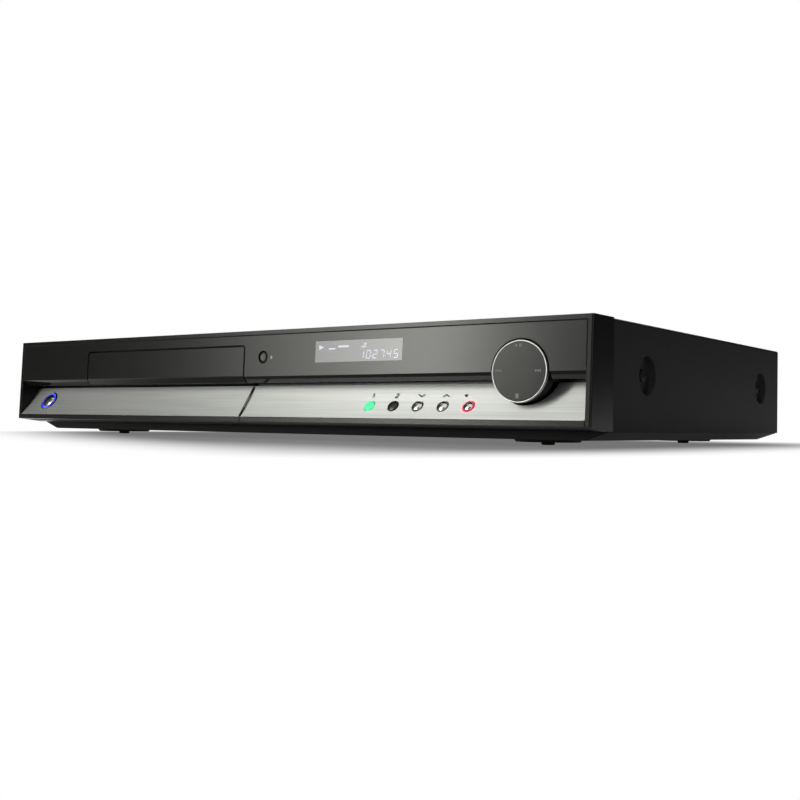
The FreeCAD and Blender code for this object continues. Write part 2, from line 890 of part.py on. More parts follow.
def flap_carrier():
    carrier = prism_x(carrier_outline(2.6), flap_left(), flap_right())
    pieces = [carrier]
    pin = 1.8
    for x0, x1, out in ((flap_left(), flap_left() + pivot_lug_width, -pin),
                        (flap_right() - pivot_lug_width, flap_right(), pin)):
        pieces.append(bar((x0, pivot_y, pivot_z), (1, 0, 0), pivot_lug_radius, x1 - x0))
        web = [(1.0, pivot_z - 1.2), (pivot_y, pivot_z - 1.2), (pivot_y, pivot_z + 1.2),
               (1.0, pivot_z + 1.2)]
        pieces.append(prism_x(web, x0, x1))
        start = x0 + out if out < 0 else x1
        pieces.append(bar((start, pivot_y, pivot_z), (1, 0, 0), pivot_pin_radius, pin))
    return joined(pieces).cut(power_hole())


def dome(radius, foot, rise):
    return turned([(0, foot), (radius, foot), (radius, 0), crown(radius, 0, rise)])


def panel_button(radius):
    """A push button on the slope: domed cap, flange behind the carrier and a short stem."""
    back = -carrier_back - loose
    cap = dome(radius, back - flange_thickness, button_crown)
    flange = Part.makeCylinder(button_radius + flange_step, flange_thickness,
                               V(0, 0, back - flange_thickness))
    stem_foot = switch_top() + button_travel + loose
    stem = Part.makeCylinder(1.2, back - stem_foot, V(0, 0, stem_foot))
    return joined([cap, flange, stem])


def switch_top():
    return -button_board_depth + 1.6


def button_board_ends():
    return (button_places()[0] - 10, button_places()[-1] + 9)


def button_board_posts():
    """Three posts behind the panel's frame, between the buttons, that seat their board."""
    left, right = button_board_ends()
    places = (left + 2, (button_places()[1] + button_places()[2]) / 2, right - 2)
    depth_in = button_board_depth - carrier_back
    post = Part.makeCylinder(1.5, depth_in + 0.5, V(0, 2.4, -button_board_depth))
    return [on_slope(post, x, button_along) for x in places]


def button_board():
    left, right = button_board_ends()
    plate = on_slope(Part.makeBox(right - left, 10.6, board, V(0, -2.6, -button_board_depth - board)),
                     left, button_along)
    switch = Part.makeBox(5, 5, switch_top() + button_board_depth, V(-2.5, -2.5, -button_board_depth))
    return joined([plate] + [on_slope(switch, x, button_along) for x in button_places()])


def power_button():
    cap = dome(power_radius, -4.0, 1.0)
    foot = -power_boss_length - 1.0
    stem = Part.makeCylinder(power_radius - 1.8, -4.0 - foot, V(0, 0, foot))
    return on_slope(joined([cap, stem]), power_x, power_along)


def eject_button():
    wall_back = -plate_thickness - bezel_wall
    top = wall_back - loose
    cap = Part.makeCylinder(eject_radius, -top, V(0, 0, top))
    hollow = Part.makeSphere(14.0, V(0, 0, 13.7))
    flange = Part.makeCylinder(eject_radius + eject_gap + flange_step, flange_thickness,
                               V(0, 0, top - flange_thickness))
    foot = -display_board_depth + 2.5 + button_travel + loose
    stem = Part.makeCylinder(1.2, top - foot, V(0, 0, foot))
    return on_front(joined([cap, flange, stem]).cut(hollow), eject_x, eject_z)


def button_light_rings():
    power = ring(power_ring_radius, power_radius + loose, -1.7, -0.2)
    record = ring(record_ring_radius, record_radius + loose, -carrier_back, 0.1)
    return [on_slope(power, power_x, power_along),
            on_slope(record, button_places()[4], button_along)]


# Navigation disc: ring, disc and gimbal, each square to the raked front


def dial_disc():
    face_radius = dial_radius - dial_ring_width
    shoulder = -1.2
    rim = dial_proud - 0.25
    body = turned([(0, -2.6), (dial_radius - 1.8, -2.6), (dial_radius - 1.8, -dial_depth),
                   (dial_radius - 0.2, -dial_depth), (dial_radius - 0.2, shoulder),
                   (face_radius, shoulder), (face_radius, rim), crown(face_radius, rim, 0.2)])
    skirt = ring(9.6, 7.6, -dial_pivot_depth - 1.7, -2.5)
    bores = bar((0, -11, -dial_pivot_depth), (0, 1, 0), dial_pin_radius + running, 22)
    return on_front(joined([body, skirt]).cut(bores), dial_x, dial_z)


def dial_ring():
    inner = dial_radius - dial_ring_width
    top = dial_proud
    half_width = dial_ring_width / 2
    profile = [(inner, -1.2), (dial_radius, -1.2), (dial_radius, top - half_width),
               ((dial_radius - half_width, top), (inner, top - half_width))]
    return on_front(turned(profile), dial_x, dial_z)


def dial_gimbal():
    centre = -dial_pivot_depth
    body = ring(6.2, 3.9, centre - 1.5, centre + 1.5)
    pins = bar((0, -9.3, centre), (0, 1, 0), dial_pin_radius, 18.6)
    inner = Part.makeCylinder(5.0, 4, V(0, 0, centre - 2))
    bores = bar((-10, 0, centre), (1, 0, 0), dial_pin_radius + running, 20)
    gimbal = joined([body, pins.cut(inner)]).cut(bores)
    return on_front(gimbal, dial_x, dial_z)


# Jacks behind the flap


def front_jack_places():
    """X of the three phono jacks, between the round socket and the small one."""
    return [s_video_front_x + 2.0 + front_jack_pitch * i for i in (1, 2, 3)]


def jack_plate_bend():
    return slope_top - 3.5


def front_jack_z():
    return floor_top + (jack_plate_bend() - floor_top) * front_jack_share


def front_jack_plate():
    y = jack_plate_y
    back = y + jack_plate_sheet
    bend = jack_plate_bend()
    plate = prism_x([(y, floor_top), (back, floor_top), (back, bend + 0.6),
                     (ledge_back + jack_plate_sheet, strip_bottom), (ledge_back, strip_bottom),
                     (y, bend)], jack_plate_left, jack_plate_right)
    face = slope_point(slope_length * 0.55, carrier_back + 0.8)
    high = slope_point(slope_length - 3, carrier_back + 0.8)
    side_outline = [face, high, (ledge_back, bend), (back, bend), (back, floor_top),
                    (face[0], floor_top)]
    pieces = [plate, prism_x(side_outline, jack_plate_right, jack_plate_right + 1.6),
              prism_x(side_outline, jack_plate_left - 1.6, jack_plate_left)]
    depth_in = power_boss_length
    boss = on_slope(Part.makeCylinder(power_ring_radius, depth_in - 1.7, V(0, 0, -depth_in)),
                    power_x, power_along)
    web_y, web_z = slope_point(power_along, depth_in - 3)
    web = box(power_x - 3, power_x + 3, web_y, back, web_z - 1.5, bend - 2)
    bore = on_slope(Part.makeCylinder(power_radius + loose, 30, V(0, 0, -depth_in - 3)),
                    power_x, power_along)
    level = front_jack_z()
    holes = [bar((x, y - 5, level), (0, 1, 0), jack_radius + 0.4, 10) for x in front_jack_places()]
    holes.append(bar((s_video_front_x, y - 5, level), (0, 1, 0), 4.8, 10))
    holes.append(box(link_socket_x - 3.4, link_socket_x + 3.4, y - 5, back + 5,
                     level - 2.2, level + 2.2))
    body = joined(pieces + [boss, web]).cut([bore])
    return body.cut(holes)


def phono_jack(reach, body_depth):
    """A phono jack facing +Z: square body behind z = 0 and a bored collar in front."""
    body = Part.makeBox(11, 11, body_depth, V(-5.5, -5.5, -body_depth))
    collar = Part.makeCylinder(jack_radius, reach, V(0, 0, 0))
    collar = collar.makeFillet(0.5, [collar.Edges[0]])
    bore = Part.makeCylinder(jack_bore, reach + body_depth / 2, V(0, 0, -body_depth / 2))
    return joined([body, collar]).cut(bore)


def mini_din(reach, body_depth):
    """A round four-pin socket facing +Z, with its ring groove, key and pin holes."""
    body = Part.makeBox(11, 11, body_depth, V(-5.5, -5.5, -body_depth))
    collar = Part.makeCylinder(4.6, reach, V(0, 0, 0))
    groove = ring(3.9, 3.1, reach - 4, reach)
    holes = [Part.makeCylinder(0.45, 5, V(1.5 * sx, 1.0 * sy, reach - 5))
             for sx in (-1, 1) for sy in (-1, 1)]
    key = Part.makeBox(2.0, 0.7, 4, V(-1.0, 1.9, reach - 4))
    return joined([body, collar]).cut([groove, key] + holes)


def front_jacks():
    y = jack_plate_y + jack_plate_sheet
    level = front_jack_z()
    solids = [facing_front(phono_jack(jack_plate_sheet + front_jack_reach, front_jack_depth), x, y, level)
              for x in front_jack_places()]
    solids.append(facing_front(mini_din(jack_plate_sheet + 0.6, front_jack_depth),
                               s_video_front_x, y, level))
    socket = Part.makeBox(6.0, 3.6, 7.0, V(-3.0, -1.8, -4.4))
    socket = socket.cut(Part.makeBox(5.0, 2.6, 5.0, V(-2.5, -1.3, -1.4)))
    tongue = Part.makeBox(3.4, 0.8, 3.6, V(-1.7, -0.4, -1.5))
    solids.append(facing_front(joined([socket, tongue]), link_socket_x, y, level))
    jack_back = y + front_jack_depth
    strip = box(s_video_front_x - 12, link_socket_x + 7, jack_back, jack_back + board,
                floor_top + loose, slope_top - 5)
    solids.append(strip)
    return solids


# Disc tray and its loading gear


def tray_door():
    door = prism_x(door_profile(plate_thickness - door_relief), -half, half)
    door = door.common(prism_y(door_outline(0), -10, 20))
    edges = [e for e in door.Edges if e.BoundBox.YMax < front_y(plate_top - door_drop) + 0.05
             and e.BoundBox.ZMin > plate_bottom - 0.1]
    return door.makeChamfer(0.3, edges) if edges else door


def rack_teeth():
    """Rack teeth under the tray as (x, y) points, facing the loading gear."""
    pitch = math.pi * gear_module
    count = int(tray_travel / pitch) + 4
    first = gear_y - 2 * pitch
    root = rack_x + tooth_reach + 0.5
    tip = rack_x - tooth_reach
    back = rack_x + rack_back
    wide = pitch * tooth_share / 2 + tooth_reach * 0.36
    narrow = pitch * tooth_share / 2 - tooth_reach * 0.36
    points = [(back, first - pitch), (root, first - pitch)]
    for i in range(count):
        y = first + (i + 0.5) * pitch
        points += [(root, y - wide), (tip, y - narrow), (tip, y + narrow), (root, y + wide)]
    end = first + (count + 0.5) * pitch
    return points + [(root, end), (back, end)]


def disc_tray():
    x0 = door_x - tray_width / 2
    x1 = door_x + tray_width / 2
    front = front_y(plate_bottom) + plate_thickness - door_relief
    plate = box(x0, x1, front - 3, tray_back, tray_under, tray_top)
    ribs = [box(x0, x0 + tray_rib_width, ledge_back, tray_back, tray_under - tray_rib, tray_under),
            box(x1 - tray_rib_width, x1, ledge_back, tray_back, tray_under - tray_rib, tray_under)]
    rack_bottom = ledge_top + rack_gap
    rack = prism_z(rack_teeth(), rack_bottom, tray_under)
    tray = joined([plate] + ribs + [rack])
    recess_z = tray_top - disc_recess
    cutters = [Part.makeCylinder(disc_radius, 20, V(door_x, disc_y, recess_z)),
               Part.makeCylinder(small_disc_radius, 20, V(door_x, disc_y, recess_z - small_disc_recess)),
               Part.makeCylinder(slot_half_width, 40, V(door_x, disc_y, tray_under - 5)),
               box(door_x - slot_half_width, door_x + slot_half_width, disc_y, tray_back + 1,
                   tray_under - 5, tray_top + 5)]
    for side in (-1, 1):
        grip = Part.makeCylinder(11, 20, V(door_x + side * disc_radius, disc_y, recess_z))
        cutters.append(grip)
    tray = tray.cut(cutters)
    door_back = front_slab(strip_bottom, plate_top, -10, 10 + plate_thickness - door_relief, -half, half)
    return tray.cut(door_back)


def gear_points(teeth, thin, reach, root_extra):
    """A spur gear's outline as (x, y), its tooth spaces facing +X at rest."""
    radius = gear_module * teeth / 2
    pitch = 2 * math.pi / teeth
    tip = radius + reach
    root = radius - reach - root_extra
    share = pitch * thin / 2
    flank = reach * 0.36 / radius
    points = []
    for i in range(teeth):
        middle = (i + 0.5) * pitch
        for r, turn in ((root, -share - flank), (tip, -share + flank), (tip, share - flank),
                        (root, share + flank)):
            points.append((r * math.cos(middle + turn), r * math.sin(middle + turn)))
    return points


def loading_gear():
    low = ledge_top - pulley_drop
    pulley = Part.makeCylinder(pulley_radius, pulley_height, V(0, 0, low))
    groove = ring(pulley_radius + 1, pulley_radius - belt_groove, low + 0.4, low + pulley_height - 0.4)
    gear_low = low + pulley_height
    # A tooth space faces the rack's tooth where the rack stands at rest.
    gear = prism_z(gear_points(gear_teeth, tooth_share, tooth_reach, 0.5), gear_low, tray_under - loose)
    pitch = 2 * math.pi / gear_teeth
    gear.rotate(V(0, 0, 0), V(0, 0, 1), math.degrees(pitch / 2))
    bore = Part.makeCylinder(spindle_radius + running, 40, V(0, 0, low - 10))
    body = joined([pulley.cut(groove), gear]).cut(bore)
    return moved(body, gear_x, gear_y, 0)


def motor_pulley():
    low = ledge_top - pulley_drop
    pulley = Part.makeCylinder(motor_pulley_radius, pulley_height, V(0, 0, low))
    groove = ring(motor_pulley_radius + 1, motor_pulley_radius - 0.5, low + 0.4,
                  low + pulley_height - 0.4)
    bore = Part.makeCylinder(1.0 + running, 40, V(0, 0, low - 10))
    return moved(pulley.cut([groove, bore]), gear_x - motor_spacing, gear_y, 0)


def belt_loop(extra):
    """The belt's loop as a face-shaped solid round both pulleys, grown by an amount."""
    big = pulley_radius - belt_groove + running + extra
    small = motor_pulley_radius - 0.5 + running + extra
    lean = math.acos((big - small) / motor_spacing)
    low = ledge_top - pulley_drop + (pulley_height - belt_size) / 2
    loop = Part.makeCylinder(big, belt_size, V(0, 0, low))
    loop = loop.fuse(Part.makeCylinder(small, belt_size, V(-motor_spacing, 0, low)))
    away = math.pi - lean
    corners = [(big * math.cos(away), big * math.sin(away)),
               (small * math.cos(away) - motor_spacing, small * math.sin(away)),
               (small * math.cos(away) - motor_spacing, -small * math.sin(away)),
               (big * math.cos(away), -big * math.sin(away))]
    return loop.fuse(prism_z(corners, low, low + belt_size)).removeSplitter()


def drive_belt():
    return moved(belt_loop(belt_groove).cut(belt_loop(0)), gear_x, gear_y, 0)


def loading_motor():
    shelf = ledge_top - pulley_drop - loose - shelf_sheet
    body = Part.makeCylinder(motor_radius, motor_length, V(0, 0, shelf - motor_length))
    flats = [box(motor_radius * 0.8, 20, -20, 20, 0, 60), box(-20, -motor_radius * 0.8, -20, 20, 0, 60)]
    shaft = Part.makeCylinder(1.0, shelf_sheet + pulley_height + 1.0, V(0, 0, shelf))
    return moved(body.cut(flats).fuse(shaft), gear_x - motor_spacing, gear_y, 0)


def drive_frame():
    xl = door_x - drive_half
    xr = door_x + drive_half
    wall_top = hook_z + 2.0
    pieces = []
    for inner, s in ((xl, -1), (xr, 1)):
        outer = inner + s * drive_wall
        left, right = min(inner, outer), max(inner, outer)
        pieces.append(box(left, right, drive_front, drive_back, drive_floor - 2, wall_top))
        nose = ledge_top - pulley_drop - loose - shelf_sheet
        pieces.append(box(left, right, jack_plate_y + 4, drive_front, nose, wall_top))
        reach = inner - s * 3.2
        left, right = min(inner, reach), max(inner, reach)
        rail_top = tray_under - tray_rib - loose
        pieces.append(box(left, right, jack_plate_y + 4, drive_back, rail_top - 1.7, rail_top))
        for y in (drive_front + 4, tray_back - 50, drive_back - 14):
            pieces.append(box(left if s < 0 else right - 2.2, left + 2.2 if s < 0 else right,
                              y, y + 10, hook_z, wall_top))
    shelf_low = ledge_top - pulley_drop - loose - shelf_sheet
    pieces.append(box(xl, xr, jack_plate_y + 4, shelf_back, shelf_low, shelf_low + shelf_sheet))
    channel_top = cam_bottom - loose
    channel_front = traverse_front - 2.0 - cam_thickness - loose
    pieces.append(box(xl, xr, channel_front - 1.7, traverse_front - 0.4, drive_floor, channel_top))
    pieces.append(box(xl, xr, channel_front - 1.7, channel_front, drive_floor, cam_bottom + 5))
    pieces.append(box(xl, xr, channel_front + cam_thickness + 2 * loose, traverse_front - 0.4,
                      drive_floor, cam_bottom + 2))
    beam_y = traverse_back + 6
    pieces.append(box(xl, xr, beam_y, beam_y + 4, drive_floor, traverse_z + 4))
    for s in (-1, 1):
        near = door_x + s * (traverse_half_width + 1.0)
        far = near + s * 3.5
        pieces.append(box(min(near, far), max(near, far), traverse_pivot_y - 4, beam_y + 1,
                          traverse_z - 3, traverse_z + 4))
    pieces.append(box(xl, xr, drive_back - 2, drive_back, drive_floor, rail_top))
    for x, y in drive_foot_places():
        inner_x = xl - drive_wall + 0.5 if x < door_x else xr + drive_wall - 0.5
        pieces.append(box(min(x, inner_x) - (4 if x < door_x else 0),
                          max(x, inner_x) + (4 if x > door_x else 0),
                          y - 5, y + 5, board_level, board_level + 2))
    post = Part.makeCylinder(spindle_radius, tray_under - loose - shelf_low - shelf_sheet,
                             V(gear_x, gear_y, shelf_low + shelf_sheet))
    body = joined(pieces + [post])
    pin_y, pin_z = traverse_pivot_y, traverse_pivot_z()
    cutters = [bar((xl, pin_y, pin_z), (1, 0, 0), traverse_pin_radius + running, 2 * drive_half),
               Part.makeCylinder(2.2, 20, V(gear_x - motor_spacing, gear_y, shelf_low - 5))]
    return body.cut(cutters)


def clamp_bridge():
    xl = door_x - drive_half - drive_wall
    xr = door_x + drive_half + drive_wall
    seat = hook_z + 2.0
    top = bridge_z + bridge_sheet
    y0, y1 = disc_y - bridge_half_depth, disc_y + bridge_half_depth
    pieces = [box(xl, xr, y0, y1, bridge_z, top),
              box(xl, xl + bridge_sheet, y0, y1, seat, bridge_z),
              box(xr - bridge_sheet, xr, y0, y1, seat, bridge_z),
              box(xl, xr, y0, y0 + bridge_sheet, bridge_z, top + 2.5),
              box(xl, xr, y1 - bridge_sheet, y1, bridge_z, top + 2.5)]
    hole = Part.makeCylinder(clamper_neck + loose * 2, 20, V(door_x, disc_y, bridge_z - 5))
    return joined(pieces).cut(hole)


# Traverse: the tilting chassis that carries turntable and pickup


def traverse_pivot_z():
    return traverse_z + traverse_sheet / 2


def rod_places():
    return [door_x - rod_spacing / 2, door_x + rod_spacing / 2]


def traverse_chassis():
    x0 = door_x - traverse_half_width
    x1 = door_x + traverse_half_width
    top = traverse_z + traverse_sheet
    plate = box(x0, x1, traverse_front, traverse_back, traverse_z, top)
    edge = 3.0
    window = box(rod_places()[0] - edge - 2, rod_places()[1] + edge + 1, sled_y - 13,
                 sled_y + sled_half_depth + sled_travel + 2, traverse_z - 1, top + 1)
    notch = box(feed_x - sled_motor_radius - 0.6, x1 + 1, feed_motor_front() - 0.6,
                feed_motor_front() + sled_motor_length + 0.6, traverse_z - 1, top + 1)
    pieces = []
    for x in rod_places():
        for y in (sled_y - 19, traverse_back - 4):
            pieces.append(box(x - 3.2, x + 3.2, y, y + 4, top - 1, rod_z + rod_radius + 1.2))
    pieces.append(box(feed_x - 3, feed_x + 3, sled_y - 19, sled_y - 15, top - 1, rod_z + 3))
    pin_z = traverse_pivot_z()
    for s in (-1, 1):
        ear_in = door_x + s * (traverse_half_width - 6)
        ear_out = door_x + s * traverse_half_width
        low, high = min(ear_in, ear_out), max(ear_in, ear_out)
        pieces.append(box(low, high, traverse_back - 8, traverse_pivot_y + 2, traverse_z, top))
        start = ear_out if s > 0 else ear_out - traverse_pin_length
        pieces.append(bar((start, traverse_pivot_y, pin_z), (1, 0, 0), traverse_pin_radius,
                          traverse_pin_length))
    front_pin = bar((cam_pin_x, traverse_front + 1, pin_z), (0, -1, 0), cam_pin_radius, 6.2)
    body = joined([plate.cut(window)] + pieces + [front_pin]).cut(notch)
    bores = [bar((x, sled_y - 25, rod_z), (0, 1, 0), rod_radius, 100) for x in rod_places()]
    bores.append(bar((feed_x, sled_y - 25, rod_z), (0, 1, 0), feed_radius * 0.6 + running, 20))
    return body.cut(bores)


def feed_motor_front():
    return traverse_back - 7 - sled_motor_length


def guide_rods():
    y0 = sled_y - 19
    return [bar((x, y0, rod_z), (0, 1, 0), rod_radius, traverse_back - y0) for x in rod_places()]


def sled_motor():
    y0 = feed_motor_front()
    can = bar((feed_x, y0, rod_z), (0, 1, 0), sled_motor_radius, sled_motor_length)
    bore = bar((feed_x, y0 - 3, rod_z), (0, 1, 0), feed_radius * 0.6 + running, 10)
    seat = traverse_z + traverse_sheet
    ear = box(feed_x - sled_motor_radius, feed_x + sled_motor_radius, y0 - 1.4, y0, seat, rod_z + 3)
    return joined([can, ear]).cut(bore)


def feed_screw():
    y0 = sled_y - 19
    motor = feed_motor_front()
    core = bar((feed_x, y0, rod_z), (0, 1, 0), feed_radius * 0.6, motor + 6 - y0)
    start = y0 + 4 + loose
    end = motor - 1.4 - loose
    thread = bar((feed_x, start, rod_z), (0, 1, 0), feed_radius, end - start)
    grooves = []
    turns = int((end - start) / feed_pitch)
    for i in range(turns):
        y = start + feed_pitch * (i + 0.5)
        groove = ring(feed_radius + 1, feed_radius - 0.35, -0.5, 0.5)
        grooves.append(facing_back(groove, feed_x, y, rod_z))
    return joined([core, thread]).cut(grooves)


def spindle_motor():
    seat = traverse_z + traverse_sheet
    body = turned([(spindle_radius + running, seat), (13.0, seat), (13.0, seat + 1.0),
                   (11.5, seat + 4.0), (spindle_radius + running, seat + 4.0)])
    return moved(body, door_x, disc_y, 0)


def turntable():
    seat = traverse_z + traverse_sheet
    low = seat + 4.0 + loose
    r = turntable_radius
    cone_top = seat_z + cone_height
    body = turned([(0, seat + 0.2), (spindle_radius, seat + 0.2), (spindle_radius, low),
                   (r - 0.8, low), (r, low + 0.8), (r, seat_z - 2.2), (r - 0.6, seat_z - 1.6),
                   (r - 0.6, seat_z), (cone_radius + 1.2, seat_z), (cone_radius + 1.2, seat_z - 0.6),
                   (cone_radius, seat_z - 0.6), (cone_radius, seat_z + 0.6),
                   (cone_radius * 0.72, cone_top), (0, cone_top)])
    return moved(body, door_x, disc_y, 0)


def clamper_puck():
    low = tray_top + rack_gap
    flange = bridge_z + bridge_sheet + loose
    cup = cone_radius + 0.8
    r = clamper_radius - 0.7
    body = turned([(0, seat_z + cone_height + 0.8), (cup, seat_z + cone_height + 0.8), (cup, low),
                   (r, low), (r, bridge_z - 1.5), (clamper_neck, bridge_z - 1.5),
                   (clamper_neck, flange), (clamper_radius, flange),
                   (clamper_radius, flange + 1.5), (0, flange + 1.5)])
    return moved(body, door_x, disc_y, 0)


def pickup_sled():
    low = traverse_z + traverse_sheet + 0.4
    top = tray_under - 0.8
    left, right = rod_places()
    body = box(left - 3.4, right + 3.4, sled_y - sled_half_depth, sled_y + sled_half_depth, low, top)
    lens_y = sled_y - 3
    tower = box(door_x - 9, door_x + 9, lens_y - 7, lens_y + 7, top - 1, top + 1.6)
    lens = turned([(0, 0), (4.2, 0), (4.2, 1.4), crown(4.2, 1.4, 0.7)])
    arm_end = feed_x - feed_radius - loose
    arm = box(right, arm_end, sled_y - sled_half_depth, sled_y - 5, rod_z - 1.2, rod_z + 1.6)
    solid = joined([body, tower, moved(lens, door_x, lens_y, top + 1.6), arm])
    return solid.cut([bar((x, sled_y - 20, rod_z), (0, 1, 0), rod_radius + running, 40)
                      for x in rod_places()])


def cam_slider():
    y1 = traverse_front - 2.0
    y0 = y1 - cam_thickness
    plate = box(cam_pin_x - cam_travel - 12, cam_pin_x + 50, y0, y1, cam_bottom, cam_top)
    gap = cam_pin_radius + loose + 0.05
    high = traverse_pivot_z()
    low = high - cam_drop
    lean = math.atan2(cam_drop, cam_travel)
    up = gap / math.cos(lean)
    ends = 1.8
    x_up, x_down = cam_pin_x, cam_pin_x - cam_travel
    slot = prism_y([(x_up + ends, high - gap), (x_up + ends, high + gap), (x_up, high + up),
                    (x_down, low + up), (x_down - ends, low + gap), (x_down - ends, low - gap),
                    (x_down, low - up), (x_up, high - up)], y0 - 1, y1 + 1)
    return plate.cut(slot)


# Electronics


def main_board():
    a = box(main_left, main_right, main_front, board_back, board_level, board_top)
    b = box(jack_strip_left, main_left + 1, jack_strip_front, board_back, board_level, board_top)
    return joined([a, b])


def on_main_board(across, along):
    """(x, y) on the main board, as shares of its width and of its depth."""
    return (main_left + across * (main_right - main_left), main_front + along * (board_back - main_front))


def main_chips():
    chips = []
    for across, along, w, d, h in ((0.353, 0.248, 28, 28, chip_height), (0.753, 0.198, 12, 22, 1.4),
                                   (0.753, 0.347, 12, 22, 1.4), (0.353, 0.446, 20, 20, 1.8),
                                   (0.753, 0.52, 14, 14, 1.6), (0.282, 0.668, 10, 18, 2.4)):
        x, y = on_main_board(across, along)
        chips.append(box(x - w / 2, x + w / 2, y - d / 2, y + d / 2, board_top, board_top + h))
    return chips


def main_heatsink():
    z = board_top + chip_height
    cx, cy = on_main_board(0.353, 0.248)
    half_width, half_depth = heatsink_width / 2, heatsink_depth / 2
    fin_pitch = (heatsink_width - fin_sheet) / 7
    left = cx - half_width
    fins = [box(left + i * fin_pitch, left + i * fin_pitch + fin_sheet, cy - half_depth, cy + half_depth,
                z + 1.5, z + heatsink_height) for i in range(8)]
    return joined([box(left, cx + half_width, cy - half_depth, cy + half_depth, z, z + 2)] + fins)


def supply_board():
    return box(supply_left, supply_right, supply_front, board_back, board_level, board_top)


def on_supply(share):
    """Y on the supply board, as a share of its depth."""
    return supply_front + share * (board_back - supply_front)


def standing_block(x, y, wide, deep, tall):
    """A block on a board, given by its middle."""
    return box(x - wide / 2, x + wide / 2, y - deep / 2, y + deep / 2, board_top, board_top + tall)


def supply_parts():
    z = board_top
    parts = [standing_block(supply_x, on_supply(0.421), core_width, core_depth, core_height),
             Part.makeCylinder(capacitor_radius, capacitor_height, V(supply_x - 10, on_supply(0.644), z))]
    reach = core_width / 2
    for x, y in ((-reach, 0.149), (0, 0.149), (reach, 0.149), (reach, 0.238), (-reach, 0.238)):
        parts.append(Part.makeCylinder(small_capacitor_radius, small_capacitor_height,
                                       V(supply_x + x, on_supply(y), z)))
    parts.append(standing_block(supply_x - 8, on_supply(0.847), filter_width, filter_depth, filter_height))
    parts.append(standing_block(supply_x + reach + 3.0, on_supply(0.47), 2.0, cool_plate_depth,
                                cool_plate_height))
    return parts


def hard_disk():
    x0 = disk_x - disk_width / 2
    z0 = bracket_level + bracket_sheet
    body = box(x0, x0 + disk_width, disk_front, disk_front + disk_depth, z0, z0 + disk_height)
    verticals = [e for e in body.Edges if e.BoundBox.ZLength > disk_height - 0.1]
    body = body.makeFillet(3.0, verticals)
    lid_z = z0 + disk_height
    rim = box(x0 + 4, x0 + disk_width - 4, disk_front + 4, disk_front + disk_depth - 4, lid_z - 0.8, lid_z)
    boss = Part.makeCylinder(32, 0.8, V(disk_x, disk_front + 55, lid_z - 0.8))
    groove = rim.cut(boss.fuse(box(x0 + 6, x0 + disk_width - 6, disk_front + 6,
                                   disk_front + disk_depth - 6, lid_z - 1, lid_z + 1)))
    return body.cut(groove)


def hard_disk_bracket():
    x0 = disk_x - disk_width / 2 - bracket_margin
    x1 = disk_x + disk_width / 2 + bracket_margin
    y0, y1 = disk_front + 8, disk_front + disk_depth - 8
    z = bracket_level
    pieces = [box(x0, x1, y0, y1, z, z + bracket_sheet)]
    for x in (x0 + bracket_leg_inset, x1 - bracket_leg_inset - bracket_sheet):
        pieces.append(box(x, x + bracket_sheet, y0, y1, pan_floor, z))
    for x in (x0, x1 - bracket_sheet):
        pieces.append(box(x, x + bracket_sheet, y0 + 10, y1 - 10, z, z + 10))
    middle = box(disk_x - 30, disk_x + 30, y0 + 25, y1 - 25, z - 1, z + bracket_sheet + 1)
    return joined(pieces).cut(middle)


def fan_frame():
    y1 = depth - rear_sheet
    y0 = y1 - fan_depth
    h = fan_size / 2
    frame = box(fan_x - h, fan_x + h, y0, y1, fan_z - h, fan_z + h)
    frame = frame.cut(bar((fan_x, y0 - 1, fan_z), (0, 1, 0), h - 1.5, fan_depth + 2))
    spider = [bar((fan_x, y0, fan_z), (0, 1, 0), 9.0, 1.5)]
    for angle in (45, 165, 285):
        arm = box(-1.2, 1.2, y0, y0 + 1.5, 0, h - 1.0)
        arm.rotate(V(0, 0, 0), V(0, 1, 0), angle)
        spider.append(moved(arm, fan_x, 0, fan_z))
    pin = bar((fan_x, y0, fan_z), (0, 1, 0), 1.0, fan_depth - 2)
    holes = [bar((fan_x + sx * (h - 3.5), y0 - 1, fan_z + sz * (h - 3.5)), (0, 1, 0), 1.6, 20)
             for sx in (-1, 1) for sz in (-1, 1)]
    return joined([frame] + spider + [pin]).cut(holes)


def fan_rotor():
    y0 = depth - rear_sheet - fan_depth
    hub = bar((0, y0 + 1.5 + loose, 0), (0, 1, 0), 9.0, 6.6)
    blade = box(-0.5, 0.5, -2.9, 2.9, 8.0, fan_size / 2 - 2.4)
    blade.rotate(V(0, 0, 0), V(0, 0, 1), 40)
    blade = moved(blade, 0, y0 + 5.0, 0)
    blades = []
    for i in range(fan_blades):
        copy = blade.copy()
        copy.rotate(V(0, 0, 0), V(0, 1, 0), 360 * i / fan_blades)
        blades.append(copy)
    bore = bar((0, 0, 0), (0, 1, 0), 1.0 + running, depth + 10)
    return moved(joined([hub] + blades).cut(bore), fan_x, 0, fan_z)


def tuner_module():
    y1 = depth - rear_sheet
    y0 = drive_back + tuner_gap
    can = box(aerial_x - 15, aerial_x + 15, y0, y1, board_level, socket_top)
    sockets = []
    for z in aerial_levels:
        sockets.append(bar((aerial_x, y1 - 1, z), (0, 1, 0), aerial_radius, jack_reach))
    body = joined([can] + sockets)
    upper, lower = aerial_levels[1], aerial_levels[0]
    inner = aerial_radius - 0.8
    hollow = bar((aerial_x, y1 + 0.5, upper), (0, 1, 0), inner, jack_reach)
    pin = bar((aerial_x, y1, upper), (0, 1, 0), 1.2, jack_reach - 2)
    bore = bar((aerial_x, y1, lower), (0, 1, 0), 1.25, jack_reach)
    feet = [box(aerial_x + s * 12 - 1.5, aerial_x + s * 12 + 1.5, y, y + 6, pan_floor, board_level)
            for s in (-1, 1) for y in (y0 + 4, y1 - 12)]
    return joined([body.cut([hollow, bore]), pin] + feet)


